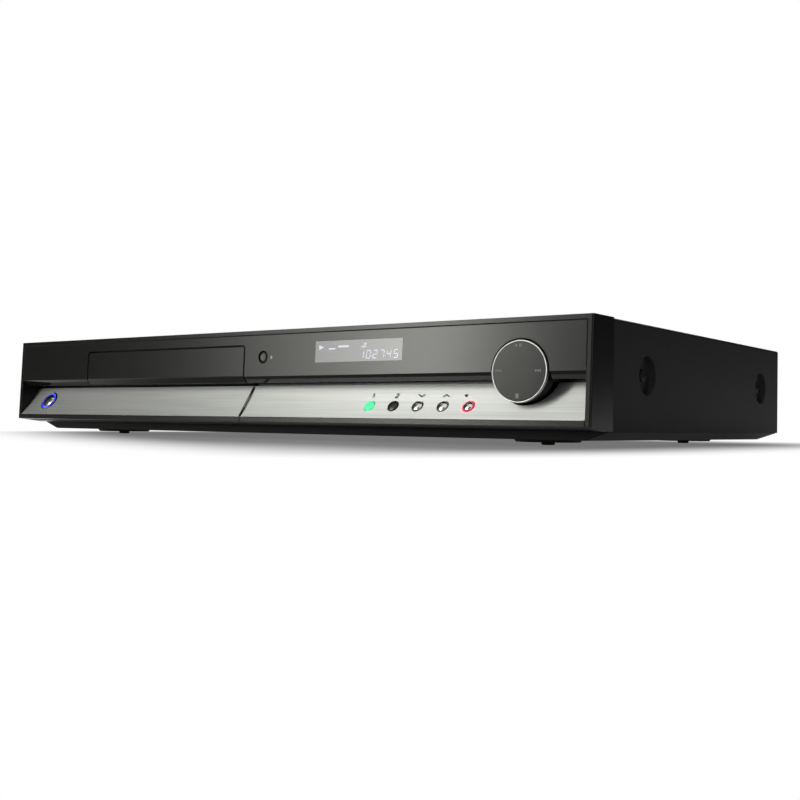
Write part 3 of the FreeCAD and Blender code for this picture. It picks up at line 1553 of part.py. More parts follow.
def scart_sockets():
    solids = []
    y1 = depth + 2.5
    y0 = y1 - 12
    for x in scart_places:
        w, h = scart_width / 2, scart_height / 2
        shell = prism_y([(x - w, scart_z - h), (x + w - 3, scart_z - h), (x + w, scart_z - h + 4),
                         (x + w, scart_z + h), (x - w, scart_z + h)], y0, y1)
        w, h = w - 1.4, h - 1.4
        outer = prism_y([(x - w, scart_z - h), (x + w - 2.6, scart_z - h), (x + w, scart_z - h + 3.4),
                         (x + w, scart_z + h), (x - w, scart_z + h)], y1 - 8, y1 + 1)
        w, h = w - 1.8, h - 1.8
        core = prism_y([(x - w, scart_z - h), (x + w - 2, scart_z - h), (x + w, scart_z - h + 2.6),
                        (x + w, scart_z + h), (x - w, scart_z + h)], y1 - 9, y1 - 0.6)
        slits = [box(x - 19 + 3.8 * i - 0.5, x - 19 + 3.8 * i + 0.5, y1 - 6, y1 + 1,
                     scart_z + (0.4 if i % 2 else -3.2), scart_z + (3.2 if i % 2 else -0.4))
                 for i in range(11)]
        base = box(x - 20, x + 20, y0 + 1, y0 + 8, board_top, scart_z - scart_height / 2 + 1)
        solids.append(joined([shell.cut(outer), core, base]).cut(slits))
    return solids


def rear_rca_jacks():
    y = depth - rear_sheet
    solids = []
    for x, z in rear_jack_places():
        solids.append(facing_back(phono_jack(jack_reach + rear_sheet, 12.0), x, y, z))
    low = board_top + rear_jack_rises[0] - 5.5
    for share in rear_jack_shares:
        x = half * share
        solids.append(box(x - 5.5, x + 5.5, y - 10, y - 2, board_top, low))
    return solids


def rear_digital_sockets():
    y = depth - rear_sheet
    x = digital_x
    wide = digital_width
    low, high, middle, upper = digital_levels()
    hdmi = prism_y([(x - wide, low + 1.2), (x - wide + 1.9, low), (x + wide - 1.9, low),
                    (x + wide, low + 1.2), (x + wide, high), (x - wide, high)], y - 9, y + 1.6)
    mouth = prism_y([(x - wide + 0.5, low + 1.6), (x - wide + 2.3, low + 0.5),
                     (x + wide - 2.3, low + 0.5), (x + wide - 0.5, low + 1.6),
                     (x + wide - 0.5, high - 0.5), (x - wide + 0.5, high - 0.5)], y - 6, y + 2)
    tongue = box(x - 5.4, x + 5.4, y - 7, y + 0.4, low + 2.7, low + 3.9)
    base = box(x - 6, x + 6, y - 8.5, y - 2, board_top, low + 0.6)
    round_socket = facing_back(mini_din(rear_sheet + 0.8, 8.0), x, y, middle)
    optical = box(x - 5, x + 5, y - 8, y + 1.6, upper, socket_top)
    optical = optical.cut(box(x - 3.2, x + 3.2, y - 4, y + 2, upper + 1, socket_top - 1))
    shutter = box(x - 3.0, x + 3.0, y - 3.2, y - 2.4, upper + 1.2, socket_top - 1.2)
    plinth = box(x - 5.4, x + 5.4, y - 8, y - 1, high, socket_top)
    plinth = plinth.cut([box(x - 5.5, x + 5.5, y - 8, y, middle - 5.5, middle + 5.5),
                         box(x - 5, x + 5, y - 8, y, upper, socket_top)])
    return [joined([hdmi.cut(mouth), tongue, base]), round_socket, joined([optical, shutter]), plinth]


def mains_inlet():
    y1 = depth + 2.0
    y0 = y1 - 20
    h = inlet_height / 2
    body = box(inlet_x - inlet_width / 2, inlet_x + inlet_width / 2, y0, y1, inlet_z - h, inlet_z + h)
    r = 4.1
    centres = (inlet_x - 4.3, inlet_x + 4.3)
    cavity = [bar((x, y1 - 13, inlet_z), (0, 1, 0), r, 20) for x in centres]
    cavity.append(box(centres[0], centres[1], y1 - 13, y1 + 5, inlet_z - 3.4, inlet_z + 3.4))
    pins = [bar((x, y1 - 14, inlet_z), (0, 1, 0), 1.2, 11.5) for x in centres]
    foot = box(inlet_x - 9, inlet_x + 9, y0 + 2, y0 + 9, board_top, inlet_z - h + 1)
    return joined([body.cut(cavity), foot] + pins)


def ribbon_cables():
    z = board_top
    high = z + 5
    solids = []
    drive = [(jack_strip_front + 8, z), (jack_strip_front + 8, high), (drive_back, high),
             (drive_back, high - 0.8), (jack_strip_front + 7.2, high - 0.8), (jack_strip_front + 7.2, z)]
    solids.append(prism_x(drive, door_x + 16, door_x + 46))
    disk_left = disk_x - disk_width / 2
    level = bracket_level + bracket_sheet + 12
    disk = [(disk_left, level), (disk_left, level - 0.8), (main_right - 3.2, level - 0.8),
            (main_right - 3.2, z), (main_right - 4, z), (main_right - 4, level)]
    solids.append(prism_y(disk, disk_front + 80, disk_front + 106))
    left = supply_right
    top = height - 5.5
    bridge = [(left - 4, z), (left - 4.8, z), (left - 4.8, top), (main_left + 8, top), (main_left + 8, z),
              (main_left + 7.2, z), (main_left + 7.2, top - 0.8), (left - 4, top - 0.8)]
    solids.append(prism_y(bridge, drive_back - 25, drive_back - 9))
    return solids


def sub_parts():
    """Each sub-part's name with its solid or solids."""
    return {
        "base_pan": base_pan(),
        "rubber_feet": rubber_feet(),
        "top_cover": top_cover(),
        "cover_screws": cover_screws(),
        "rear_panel": rear_panel(),
        "front_bezel": front_bezel(),
        "front_plate": front_plate(),
        "display_window": display_window(),
        "display_module": display_module(),
        "display_board": display_board(),
        "panel_skin": panel_skin(),
        "panel_frame": panel_frame(),
        "button_board": button_board(),
        "button_light_rings": button_light_rings(),
        "front_jack_plate": front_jack_plate(),
        "front_jacks": front_jacks(),
        "main_board": main_board(),
        "main_chips": main_chips(),
        "main_heatsink": main_heatsink(),
        "supply_board": supply_board(),
        "supply_parts": supply_parts(),
        "hard_disk": hard_disk(),
        "hard_disk_bracket": hard_disk_bracket(),
        "fan_frame": fan_frame(),
        "fan_rotor": fan_rotor(),
        "tuner_module": tuner_module(),
        "scart_sockets": scart_sockets(),
        "rear_rca_jacks": rear_rca_jacks(),
        "rear_digital_sockets": rear_digital_sockets(),
        "mains_inlet": mains_inlet(),
        "ribbon_cables": ribbon_cables(),
        "drive_frame": drive_frame(),
        "clamp_bridge": clamp_bridge(),
        "loading_motor": loading_motor(),
        "motor_pulley": motor_pulley(),
        "drive_belt": drive_belt(),
        "loading_gear": loading_gear(),
        "disc_tray": disc_tray(),
        "tray_door": tray_door(),
        "traverse_chassis": traverse_chassis(),
        "guide_rods": guide_rods(),
        "sled_motor": sled_motor(),
        "feed_screw": feed_screw(),
        "spindle_motor": spindle_motor(),
        "turntable": turntable(),
        "clamper_puck": clamper_puck(),
        "pickup_sled": pickup_sled(),
        "cam_slider": cam_slider(),
        "flap_skin": flap_skin(),
        "flap_carrier": flap_carrier(),
        "power_button": power_button(),
        "eject_button": eject_button(),
        "source_button_1": on_slope(panel_button(button_radius), button_places()[0], button_along),
        "source_button_2": on_slope(panel_button(button_radius), button_places()[1], button_along),
        "channel_down_button": on_slope(panel_button(button_radius), button_places()[2], button_along),
        "channel_up_button": on_slope(panel_button(button_radius), button_places()[3], button_along),
        "record_button": on_slope(panel_button(record_radius), button_places()[4], button_along),
        "dial_gimbal": dial_gimbal(),
        "dial_disc": dial_disc(),
        "dial_ring": dial_ring(),
    }


def middle_y():
    """Half way between the foremost point of the disc's ring and the rear jacks' ends."""
    rake = math.pi / 2 - front_tilt
    front = front_y(dial_z) - dial_radius * math.sin(rake) - dial_proud * math.cos(rake)
    back = depth + jack_reach
    return (front + back) / 2


def write_parts():
    os.makedirs("parts", exist_ok=True)
    shift = V(0, -middle_y(), 0)
    for name, shape in sub_parts().items():
        solids = shape if isinstance(shape, list) else [shape]
        body = Part.makeCompound(solids) if len(solids) > 1 else solids[0]
        body = body.copy()
        body.translate(shift)
        body.exportStep("parts/" + name + ".step")


write_parts()
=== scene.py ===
import math

import bmesh
import bpy
from mathutils import Matrix, Vector


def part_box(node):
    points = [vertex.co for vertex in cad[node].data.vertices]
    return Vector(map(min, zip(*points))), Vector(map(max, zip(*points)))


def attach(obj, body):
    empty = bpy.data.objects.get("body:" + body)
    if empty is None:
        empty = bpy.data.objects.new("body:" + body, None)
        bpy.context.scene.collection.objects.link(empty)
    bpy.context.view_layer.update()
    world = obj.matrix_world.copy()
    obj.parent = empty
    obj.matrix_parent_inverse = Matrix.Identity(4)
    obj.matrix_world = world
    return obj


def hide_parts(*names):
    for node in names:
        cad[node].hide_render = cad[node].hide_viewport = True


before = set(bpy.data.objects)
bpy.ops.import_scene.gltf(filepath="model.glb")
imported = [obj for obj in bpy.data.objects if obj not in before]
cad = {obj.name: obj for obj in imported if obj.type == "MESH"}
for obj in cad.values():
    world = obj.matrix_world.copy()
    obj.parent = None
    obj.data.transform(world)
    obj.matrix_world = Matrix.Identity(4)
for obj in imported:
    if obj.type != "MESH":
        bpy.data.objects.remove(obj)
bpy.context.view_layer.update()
mm = 0.001

# The recorder stands on its feet, with its front towards -Y. Its front plate leans back
# a little, and under it a wider panel slopes forward to a dark lip. Most pieces on the
# front are laid on one of these two planes.

front_low, front_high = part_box("front_bezel")
rake_run = 2.2 * mm
lip_z = 9.5 * mm
lip_height = 2.8 * mm
slope_top_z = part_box("panel_skin")[1].z
slope_run = 12.4 * mm
top_edge_y = front_low.y + rake_run


def front_y(z):
    """Y of the raked front at height z."""
    return top_edge_y - rake_run * (front_high.z - z) / (front_high.z - lip_z)


def plane(place, up):
    """Places a mesh drawn flat, X right and Y up, so that it lies on a face seen from -Y."""
    right = Vector((1, 0, 0))
    up = Vector(up).normalized()
    turn = Matrix((right, up, right.cross(up))).transposed().to_4x4()
    return Matrix.Translation(place) @ turn


def on_front(x, z):
    return plane((x, front_y(z), z), (0, rake_run, front_high.z - lip_z))


def on_slope(x, along):
    """A place on the sloping panel, a given way up from its foot."""
    up = Vector((0, slope_run, slope_top_z - lip_z - lip_height)).normalized()
    foot = Vector((x, front_y(lip_z + lip_height), lip_z + lip_height))
    return plane(foot + up * along, up)


# Finishes are made of shader nodes. A small wrapper lets their sums be written as Python
# sums, and each finish below belongs to one real coating, moulding or metal.


class Value:
    """A node's output, or a sum of such outputs."""

    def __init__(self, finish, socket):
        self.finish = finish
        self.socket = socket

    def maths(self, operation, a, b=0.0):
        return self.finish.node("Math", {"operation": operation}, {0: a, 1: b})

    def __add__(self, other):
        return self.maths("ADD", self, other)

    __radd__ = __add__

    def __sub__(self, other):
        return self.maths("SUBTRACT", self, other)

    def __rsub__(self, other):
        return self.maths("SUBTRACT", other, self)

    def __mul__(self, other):
        return self.maths("MULTIPLY", self, other)

    __rmul__ = __mul__

    def __truediv__(self, other):
        return self.maths("DIVIDE", self, other)

    def __pow__(self, other):
        return self.maths("POWER", self, other)

    def __gt__(self, other):
        return self.maths("GREATER_THAN", self, other)

    def __lt__(self, other):
        return self.maths("LESS_THAN", self, other)


class Finish:
    """A material while it is being made."""

    def __init__(self, name):
        self.material = bpy.data.materials.new(name)
        self.material.use_nodes = True
        self.tree = self.material.node_tree
        self.tree.nodes.clear()

    def node(self, kind, settings=None, inputs=None, output=0):
        made = self.tree.nodes.new("ShaderNode" + kind)
        for name, value in (settings or {}).items():
            if name == "stops":
                ramp = made.color_ramp.elements
                while len(ramp) < len(value):
                    ramp.new(0.5)
                for element, (position, colour) in zip(ramp, value):
                    element.position = position
                    element.color = (*colour, 1)
            else:
                setattr(made, name, value)
        for name, value in (inputs or {}).items():
            if isinstance(value, Value):
                self.tree.links.new(value.socket, made.inputs[name])
            else:
                made.inputs[name].default_value = value
        return Value(self, made.outputs[output])

    def place(self, scale=(1, 1, 1), turn=(0, 0, 0), shift=(0, 0, 0)):
        """The piece's own coordinates in metres, stretched for a pattern."""
        where = self.node("TexCoord", output="Object")
        return self.node("Mapping", {}, {0: where, "Location": shift, "Rotation": turn, "Scale": scale})

    def along(self, axis):
        where = self.node("TexCoord", output="Object")
        return self.node("SeparateXYZ", {}, {0: where}, output="XYZ".index(axis))

    def noise(self, size, detail=3.0, stretch=(1, 1, 1)):
        """Cloudy noise with grains of a given size in metres."""
        scale = tuple(s / size for s in stretch)
        return self.node("TexNoise", {}, {"Vector": self.place(scale), "Scale": 1.0, "Detail": detail})

    def cells(self, size, stretch=(1, 1, 1)):
        scale = tuple(s / size for s in stretch)
        return self.node("TexVoronoi", {}, {"Vector": self.place(scale), "Scale": 1.0})

    def mix(self, share, first, second):
        """One colour turning into another."""
        colours = {}
        for index, colour in ((6, first), (7, second)):
            colours[index] = colour if isinstance(colour, Value) else (*colour, 1)
        return self.node("Mix", {"data_type": "RGBA"}, {0: share, **colours}, output=2)

    def spread(self, value, low, high):
        """Brings a noise, which lies between 0 and 1, to a range of its own."""
        return value * (high - low) + low

    def bump(self, height, depth, edge=0.0):
        """Small relief of a depth in metres, with edges softened by a radius."""
        links = {"Height": height, "Distance": depth, "Strength": 1.0}
        if edge:
            links["Normal"] = self.node("Bevel", {"samples": 4}, {"Radius": edge})
        return self.node("Bump", {}, links)

    def surface(self, **inputs):
        """Closes the finish with the surface's own values, and returns the material."""
        named = {name.replace("_", " "): value for name, value in inputs.items()}
        for name, value in named.items():
            if isinstance(value, tuple) and len(value) == 3:
                named[name] = (*value, 1)
        shader = self.node("BsdfPrincipled", {}, named)
        out = self.tree.nodes.new("ShaderNodeOutputMaterial")
        self.tree.links.new(shader.socket, out.inputs["Surface"])
        return self.material


def dress(material, *names):
    """Gives a finish to the solids that keep their own shape."""
    for name in names:
        mesh = cad[name].data
        mesh.materials.clear()
        mesh.materials.append(material)


# Base pan, rear panel and the brackets inside are folded from zinc-plated steel sheet, in
# which the spangle of the plating shows. The pan is painted black under the recorder.


def plated_steel(name, tone):
    made = Finish(name)
    flakes = made.cells(2.2 * mm)
    cloud = made.noise(9 * mm)
    colour = made.mix(flakes, tuple(0.86 * c for c in tone), tone)
    grain = made.noise(0.15 * mm, 2.0)
    return made.surface(
        Base_Color=made.mix(cloud, colour, tuple(0.93 * c for c in tone)),
        Metallic=1.0,
        Roughness=made.spread(flakes, 0.34, 0.5),
        Normal=made.bump(grain, 0.01 * mm, 0.25 * mm),
    )


def black_paint(name, tone, edge):
    """Stoved paint with the fine orange-peel of powder coat."""
    made = Finish(name)
    peel = made.noise(0.9 * mm, 2.0)
    fine = made.noise(0.22 * mm, 2.0)
    dust = made.noise(40 * mm, 4.0)
    return made.surface(
        Base_Color=made.mix(dust, tone, tuple(1.35 * c for c in tone)),
        Roughness=made.spread(dust, 0.5, 0.58),
        Specular_IOR_Level=0.18,
        Normal=made.bump(peel * 0.6 + fine * 0.4, 0.035 * mm, edge),
    )


dress(plated_steel("zinc_plating", (0.52, 0.53, 0.52)),
      "clamp_bridge", "hard_disk_bracket", "traverse_chassis", "tuner_module")
dress(black_paint("pan_paint", (0.006, 0.006, 0.006), 0.4 * mm), "base_pan")
dress(black_paint("rear_paint", (0.011, 0.011, 0.0115), 0.3 * mm), "rear_panel")

# The four feet are turned rubber buttons, pushed through the pan's round pads, with a
# rounded rim and a shallow ring on the face that they stand on.


def lathe(profile, steps):
    """A closed shape from a profile of (radius, height), turned about its own Z."""
    shape = bmesh.new()
    points = [shape.verts.new((r, 0, h)) for r, h in profile]
    for a, b in zip(points, points[1:]):
        shape.edges.new((a, b))
    bmesh.ops.spin(shape, geom=shape.verts[:] + shape.edges[:], cent=(0, 0, 0), axis=(0, 0, 1),
                   angle=2 * math.pi, steps=steps, use_merge=True)
    bmesh.ops.remove_doubles(shape, verts=shape.verts, dist=1e-7)
    bmesh.ops.recalc_face_normals(shape, faces=shape.faces)
    return shape


def piece(name, shapes, body, material, slot, replaces=(), smooth=True):
    """One object from placed shapes, riding on its body."""
    mesh = bpy.data.meshes.new(name)
    whole = bmesh.new()
    for shape, place in shapes:
        shape.transform(place)
        part = bpy.data.meshes.new("part")
        shape.to_mesh(part)
        shape.free()
        whole.from_mesh(part)
        bpy.data.meshes.remove(part)
    for face in whole.faces:
        face.smooth = smooth
    for edge in whole.edges:
        edge.smooth = edge.is_manifold and edge.calc_face_angle() < 0.7
    whole.to_mesh(mesh)
    whole.free()
    mesh.materials.append(material)
    made = bpy.data.objects.new(name, mesh)
    bpy.context.scene.collection.objects.link(made)
    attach(made, body)
    if replaces:
        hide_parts(*replaces)
    return made


def rubber():
    made = Finish("rubber")
    grain = made.noise(0.12 * mm, 3.0)
    dust = made.noise(2 * mm)
    return made.surface(
        Base_Color=made.mix(dust, (0.011, 0.011, 0.011), (0.022, 0.021, 0.02)),
        Roughness=made.spread(dust, 0.72, 0.9),
        Specular_IOR_Level=0.3,
        Normal=made.bump(grain, 0.02 * mm),
    )


black_rubber = rubber()
foot_radius = 3.5 * mm
foot_profile = [(0, 0.25), (1.9, 0.25), (2.1, 0), (2.8, 0), (3.3, 0.2), (3.5, 0.7), (3.5, 1.5), (0, 1.5)]
foot_low, foot_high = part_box("rubber_feet")
feet = []
for x in (foot_low.x + foot_radius, foot_high.x - foot_radius):
    for y in (foot_low.y + foot_radius, foot_high.y - foot_radius):
        foot = lathe([(r * mm, h * mm) for r, h in foot_profile], 48)
        feet.append((foot, Matrix.Translation((x, y, 0))))
piece("feet_turned", feet, "case", black_rubber, "rubber_black", ("rubber_feet",))

# Circuit boards carry a green lacquer over copper tracks. The larger parts on them are
# black moulded packages, blue-sleeved capacitors and a taped transformer.


def board_lacquer():
    made = Finish("board_lacquer")
    pads = made.cells(2.6 * mm)
    tracks = made.node("TexBrick", {"offset": 0.37, "squash": 1.6, "squash_frequency": 3},
                       {"Vector": made.place((1, 1, 0)), "Scale": 260.0, "Mortar Size": 0.03,
                        "Color1": (0, 0, 0, 1), "Color2": (0.25, 0.25, 0.25, 1),
                        "Mortar": (1, 1, 1, 1)}, output=1)
    copper = tracks * 0.55
    dark, light = (0.008, 0.09, 0.035), (0.02, 0.17, 0.07)
    green = made.mix(copper, dark, light)
    solder = pads < 0.16
    return made.surface(
        Base_Color=made.mix(solder, green, (0.6, 0.6, 0.58)),
        Metallic=solder * 0.9,
        Roughness=made.spread(made.noise(3 * mm), 0.3, 0.42),
        Normal=made.bump(copper + solder, 0.05 * mm),
    )


def package_black(name, tone):
    made = Finish(name)
    grain = made.noise(0.1 * mm, 2.0)
    patch = made.noise(6 * mm)
    return made.surface(
        Base_Color=made.mix(patch, tone, tuple(1.5 * c for c in tone)),
        Roughness=made.spread(patch, 0.45, 0.6),
        Normal=made.bump(grain, 0.02 * mm, 0.2 * mm),
    )


def capacitor_sleeves():
    """Blue shrink sleeves on the tall round parts, tape on the square ones."""
    made = Finish("supply_sleeves")
    wrap = made.node("TexWave", {"bands_direction": "Z"}, {"Vector": made.place((400, 400, 400))})
    which = made.noise(60 * mm, 0.0)
    blue, amber = (0.02, 0.05, 0.2), (0.35, 0.16, 0.03)
    return made.surface(
        Base_Color=made.mix(which > 0.52, made.mix(wrap * 0.3, blue, (0.05, 0.08, 0.25)), amber),
        Roughness=made.spread(wrap, 0.3, 0.4),
        Normal=made.bump(wrap, 0.03 * mm, 0.4 * mm),
    )


dress(board_lacquer(), "display_board", "button_board", "main_board", "supply_board")
dress(package_black("chip_mould", (0.012, 0.012, 0.013)), "main_chips")
dress(capacitor_sleeves(), "supply_parts")


def cast_aluminium(name, tone, grain_size):
    made = Finish(name)
    grain = made.noise(grain_size, 3.0)
    cloud = made.noise(14 * mm)
    return made.surface(
        Base_Color=made.mix(cloud, tone, tuple(0.85 * c for c in tone)),
        Metallic=1.0,
        Roughness=made.spread(grain, 0.36, 0.5),
        Normal=made.bump(grain, 0.02 * mm, 0.3 * mm),
    )


dress(cast_aluminium("cast_aluminium", (0.5, 0.51, 0.52), 0.5 * mm), "main_heatsink", "hard_disk")


def ribbon():
    """Grey flat cable, its conductors side by side along it."""
    made = Finish("ribbon_cable")
    wires = made.node("TexWave", {"bands_direction": "X"}, {"Vector": made.place((1, 1, 1)), "Scale": 800.0})
    return made.surface(
        Base_Color=made.mix(wires, (0.36, 0.37, 0.38), (0.5, 0.5, 0.5)),
        Roughness=made.spread(wires, 0.5, 0.6),
        Normal=made.bump(wires, 0.15 * mm),
    )


dress(ribbon(), "ribbon_cables")

# Disc drive: a moulded frame holds the loading gear, the belt and the traverse, and its
# motors have ground steel cans. The tray is matt black with a fine spark texture.


lip_dulling = 0.02


def moulded(name, tone, grain_size=0.28 * mm, edge=0.25 * mm, rough=(0.42, 0.55), shine=0.4, lip=None):
    """Black styrene with a spark-eroded texture, duller below the height of a lip."""
    made = Finish(name)
    spark = made.noise(grain_size, 2.0)
    flow = made.noise(30 * mm, 3.0)
    dull = 0.0 if lip is None else (made.along("Z") < lip) * lip_dulling
    return made.surface(
        Base_Color=made.mix(flow, tone, tuple(1.25 * c for c in tone)),
        Roughness=made.spread(spark, *rough) + dull,
        Specular_IOR_Level=shine,
        Normal=made.bump(spark, 0.02 * mm, edge),
    )


drive_black = moulded("drive_moulding", (0.02, 0.02, 0.021))
dress(drive_black, "drive_frame", "cam_slider", "loading_gear", "motor_pulley", "dial_gimbal",
      "fan_frame", "fan_rotor", "turntable", "clamper_puck", "pickup_sled")
dress(moulded("tray_moulding", (0.026, 0.026, 0.028)), "disc_tray")
dress(black_rubber, "drive_belt")


def ground_steel():
    made = Finish("ground_steel")
    turning = made.noise(0.3 * mm, 3.0, (1, 1, 6))
    return made.surface(
        Base_Color=made.mix(turning, (0.46, 0.46, 0.45), (0.62, 0.62, 0.6)),
        Metallic=1.0,
        Roughness=made.spread(turning, 0.22, 0.36),
        Normal=made.bump(turning, 0.01 * mm, 0.2 * mm),
    )


dress(ground_steel(), "loading_motor", "sled_motor", "spindle_motor", "guide_rods", "feed_screw")

# The front bezel is one moulding in satin black, with a dark well for the round control.
# Its cheeks, top band and lip frame the plate and the sloping panel.

bezel_black = moulded("bezel_moulding", (0.006, 0.0062, 0.0058), 0.5 * mm, 0.35 * mm, (0.22, 0.26), 0.24,
                      lip_z + lip_height)
dress(bezel_black, "front_bezel", "panel_frame", "flap_carrier")
dress(moulded("jack_plate_moulding", (0.013, 0.013, 0.013)), "front_jack_plate")


def jack_bodies(name, low_y, tone):
    """Sockets whose collars are nickel and whose bodies behind the panel are black."""
    made = Finish(name)
    grain = made.noise(0.2 * mm, 2.0)
    shell = (made.along("Y") < low_y) if low_y < 0 else (made.along("Y") > low_y)
    return made.surface(
        Base_Color=made.mix(shell, (0.015, 0.015, 0.015), tone),
        Metallic=shell * 0.95,
        Roughness=made.spread(grain, 0.22, 0.36),
        Normal=made.bump(grain, 0.01 * mm, 0.15 * mm),
    )


plate_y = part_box("rear_panel")[1].y
front_collars_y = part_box("front_jacks")[0].y + 5.9 * mm
nickel = (0.62, 0.6, 0.55)
dress(jack_bodies("front_jack_nickel", front_collars_y, nickel), "front_jacks")
dress(jack_bodies("rear_jack_nickel", plate_y - 0.5 * mm, nickel), "rear_rca_jacks")
dress(jack_bodies("digital_nickel", plate_y + 0.4 * mm, (0.5, 0.5, 0.5)), "rear_digital_sockets")
dress(moulded("socket_moulding", (0.014, 0.014, 0.015)), "scart_sockets", "mains_inlet")

# Plate and tray door are one hard-coated smoked sheet, satin on the face and polished on
# the chamfer at its foot, where the buttons below are mirrored.


chamfer_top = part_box("front_plate")[0].z + 3.45 * mm


def smoked_plate():
    made = Finish("smoked_plate")
    chamfer = made.along("Z") < chamfer_top
    orange = made.noise(2.5 * mm, 1.0)
    fine = made.noise(0.3 * mm, 2.0)
    satin = made.spread(fine, 0.21, 0.25)
    return made.surface(
        Base_Color=made.mix(made.noise(60 * mm), (0.006, 0.006, 0.0058), (0.008, 0.008, 0.0077)),
        Roughness=satin - chamfer * 0.18,
        Specular_IOR_Level=0.29,
        Coat_Weight=chamfer * 0.12,
        Coat_Roughness=0.05,
        Normal=made.bump(orange * (1 - chamfer), 0.004 * mm, 0.2 * mm),
    )


dress(smoked_plate(), "front_plate", "tray_door")

# The display is a lit glass cell behind a lilac-grey lens. Its bright segments are drawn
# as thin bars on the lens: a clock, a play mark and plain status bars.


def lens_tint():
    made = Finish("display_lens")
    glow = made.noise(18 * mm, 2.0)
    mesh_grid = made.noise(0.25 * mm, 1.0)
    tone = made.mix(glow, (0.105, 0.105, 0.114), (0.12, 0.12, 0.131))
    return made.surface(
        Base_Color=tone,
        Roughness=made.spread(mesh_grid, 0.2, 0.3),
        Emission_Color=tone,
        Emission_Strength=0.45,
    )


def lit(name, colour, strength, rough=0.4):
    """A lit segment or light guide, a little uneven along its length."""
    made = Finish(name)
    uneven = made.noise(1.5 * mm, 1.0)
    return made.surface(
        Base_Color=made.mix(uneven, colour, tuple(0.9 * c for c in colour)),
        Roughness=made.spread(uneven, rough, rough + 0.1),
        Emission_Color=made.mix(uneven, colour, tuple(0.85 * c for c in colour)),
        Emission_Strength=strength,
    )


dress(lens_tint(), "display_window")
dress(package_black("display_cell", (0.03, 0.03, 0.035)), "display_module")


def flat_shape(points, thickness):
    """A thin plate with straight sides, drawn in X and Y and standing on Z = 0."""
    shape = bmesh.new()
    face = shape.faces.new([shape.verts.new((x, y, 0)) for x, y in points])
    raised = bmesh.ops.extrude_face_region(shape, geom=[face])
    tops = [v for v in raised["geom"] if isinstance(v, bmesh.types.BMVert)]
    bmesh.ops.translate(shape, verts=tops, vec=(0, 0, thickness))
    bmesh.ops.recalc_face_normals(shape, faces=shape.faces)
    return shape


def bar(x0, y0, x1, y1, width, thickness):
    """A straight stroke from one point to another."""
    along = Vector((x1 - x0, y1 - y0)).normalized() * width / 2
    side = Vector((-along.y, along.x))
    start, end = Vector((x0, y0)), Vector((x1, y1))
    corners = [start + side, start - along * 0.6, start - side, end - side, end + along * 0.6, end + side]
    return flat_shape([tuple(c) for c in corners], thickness)


ink = 0.03 * mm
glow_ink = 0.05 * mm
stroke = 0.32 * mm
digit_width = 2.5 * mm
digit_height = 4.0 * mm
digit_lean = 0.12
segments_lit = {"0": "abcdef", "1": "bc", "2": "abged", "3": "abgcd", "4": "fgbc", "5": "afgcd",
                "6": "afgedc", "7": "abc", "8": "abcdefg", "9": "abcdfg"}


def digit(sign):
    """A seven-segment figure as placed strokes, its lower left corner at the origin."""
    w, h = digit_width, digit_height
    gap = stroke * 0.75
    ends = {"a": (gap, h, w - gap, h), "b": (w, h - gap, w, h / 2 + gap), "c": (w, h / 2 - gap, w, gap),
            "d": (gap, 0, w - gap, 0), "e": (0, h / 2 - gap, 0, gap), "f": (0, h - gap, 0, h / 2 + gap),
            "g": (gap, h / 2, w - gap, h / 2)}
    strokes = []
    for name in segments_lit[sign]:
        x0, y0, x1, y1 = ends[name]
        strokes.append(bar(x0 + y0 * digit_lean, y0, x1 + y1 * digit_lean, y1, stroke, glow_ink))
    return strokes


lens_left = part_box("display_window")[0].x
clock = []
pitch = 4.45 * mm
clock_x = lens_left + 30.4 * mm
clock_z = 43.55 * mm
for place, sign in enumerate("102745"):
    x = clock_x + place * pitch
    clock += [(shape, on_front(x, clock_z)) for shape in digit(sign)]
    if place in (1, 3):
        for up in (1.1 * mm, 2.9 * mm):
            dot = bar(0, 0, 0.1 * mm, 0, 0.5 * mm, glow_ink)
            clock.append((dot, on_front(x + digit_width + 0.95 * mm + up * digit_lean, clock_z + up)))
triangle = [(0, 0), (3.4 * mm, 1.25 * mm), (0, 2.5 * mm)]
marks = [(flat_shape(triangle[::-1], glow_ink), on_front(lens_left + 2.7 * mm, 48.75 * mm))]
for x0, x1, z, width in ((9.5, 14.0, 49.1, 0.75), (16.0, 22.9, 50.2, 0.95), (31.6, 34.6, 49.7, 0.8),
                         (33.4, 34.9, 51.1, 0.8)):
    stroke_bar = bar(0, 0, (x1 - x0) * mm, 0, width * mm, glow_ink)
    marks.append((stroke_bar, on_front(lens_left + x0 * mm, z * mm)))
piece("display_figures", clock, "case", lit("segment_glow", (0.8, 0.82, 0.95), 0.7), "display_glass",
      smooth=False)
piece("display_marks", marks, "case", lit("mark_glow", (0.62, 0.64, 0.78), 0.55), "display_glass",
      smooth=False)

# Printed signs are thin ink laid on the face: an eject mark by its button, figures and
# arrows over the row of buttons, and a red dot at the record button.


def printed(name, colour, shine=0.5):
    made = Finish(name)
    screen = made.noise(0.1 * mm, 2.0)
    return made.surface(
        Base_Color=made.mix(screen, colour, tuple(0.85 * c for c in colour)),
        Roughness=made.spread(screen, 0.5, 0.65),
        Specular_IOR_Level=shine,
    )


pale_ink = printed("pale_ink", (0.78, 0.78, 0.77))
dark_print_and_shadow = printed("dark_print_and_shadow", (0.008, 0.008, 0.009), 0.08)
red_ink = printed("red_ink", (0.28, 0.012, 0.02))
eject_mark_x = 18.3 * mm
eject_mark = [
    (flat_shape([(-0.85 * mm, 0), (0.85 * mm, 0), (0, 1.0 * mm)], ink), on_front(eject_mark_x, 45.7 * mm)),
    (bar(-0.8 * mm, 0, 0.8 * mm, 0, 0.4 * mm, ink), on_front(eject_mark_x, 45.1 * mm)),
]
piece("eject_mark", eject_mark, "case", pale_ink, "black_gloss", smooth=False)

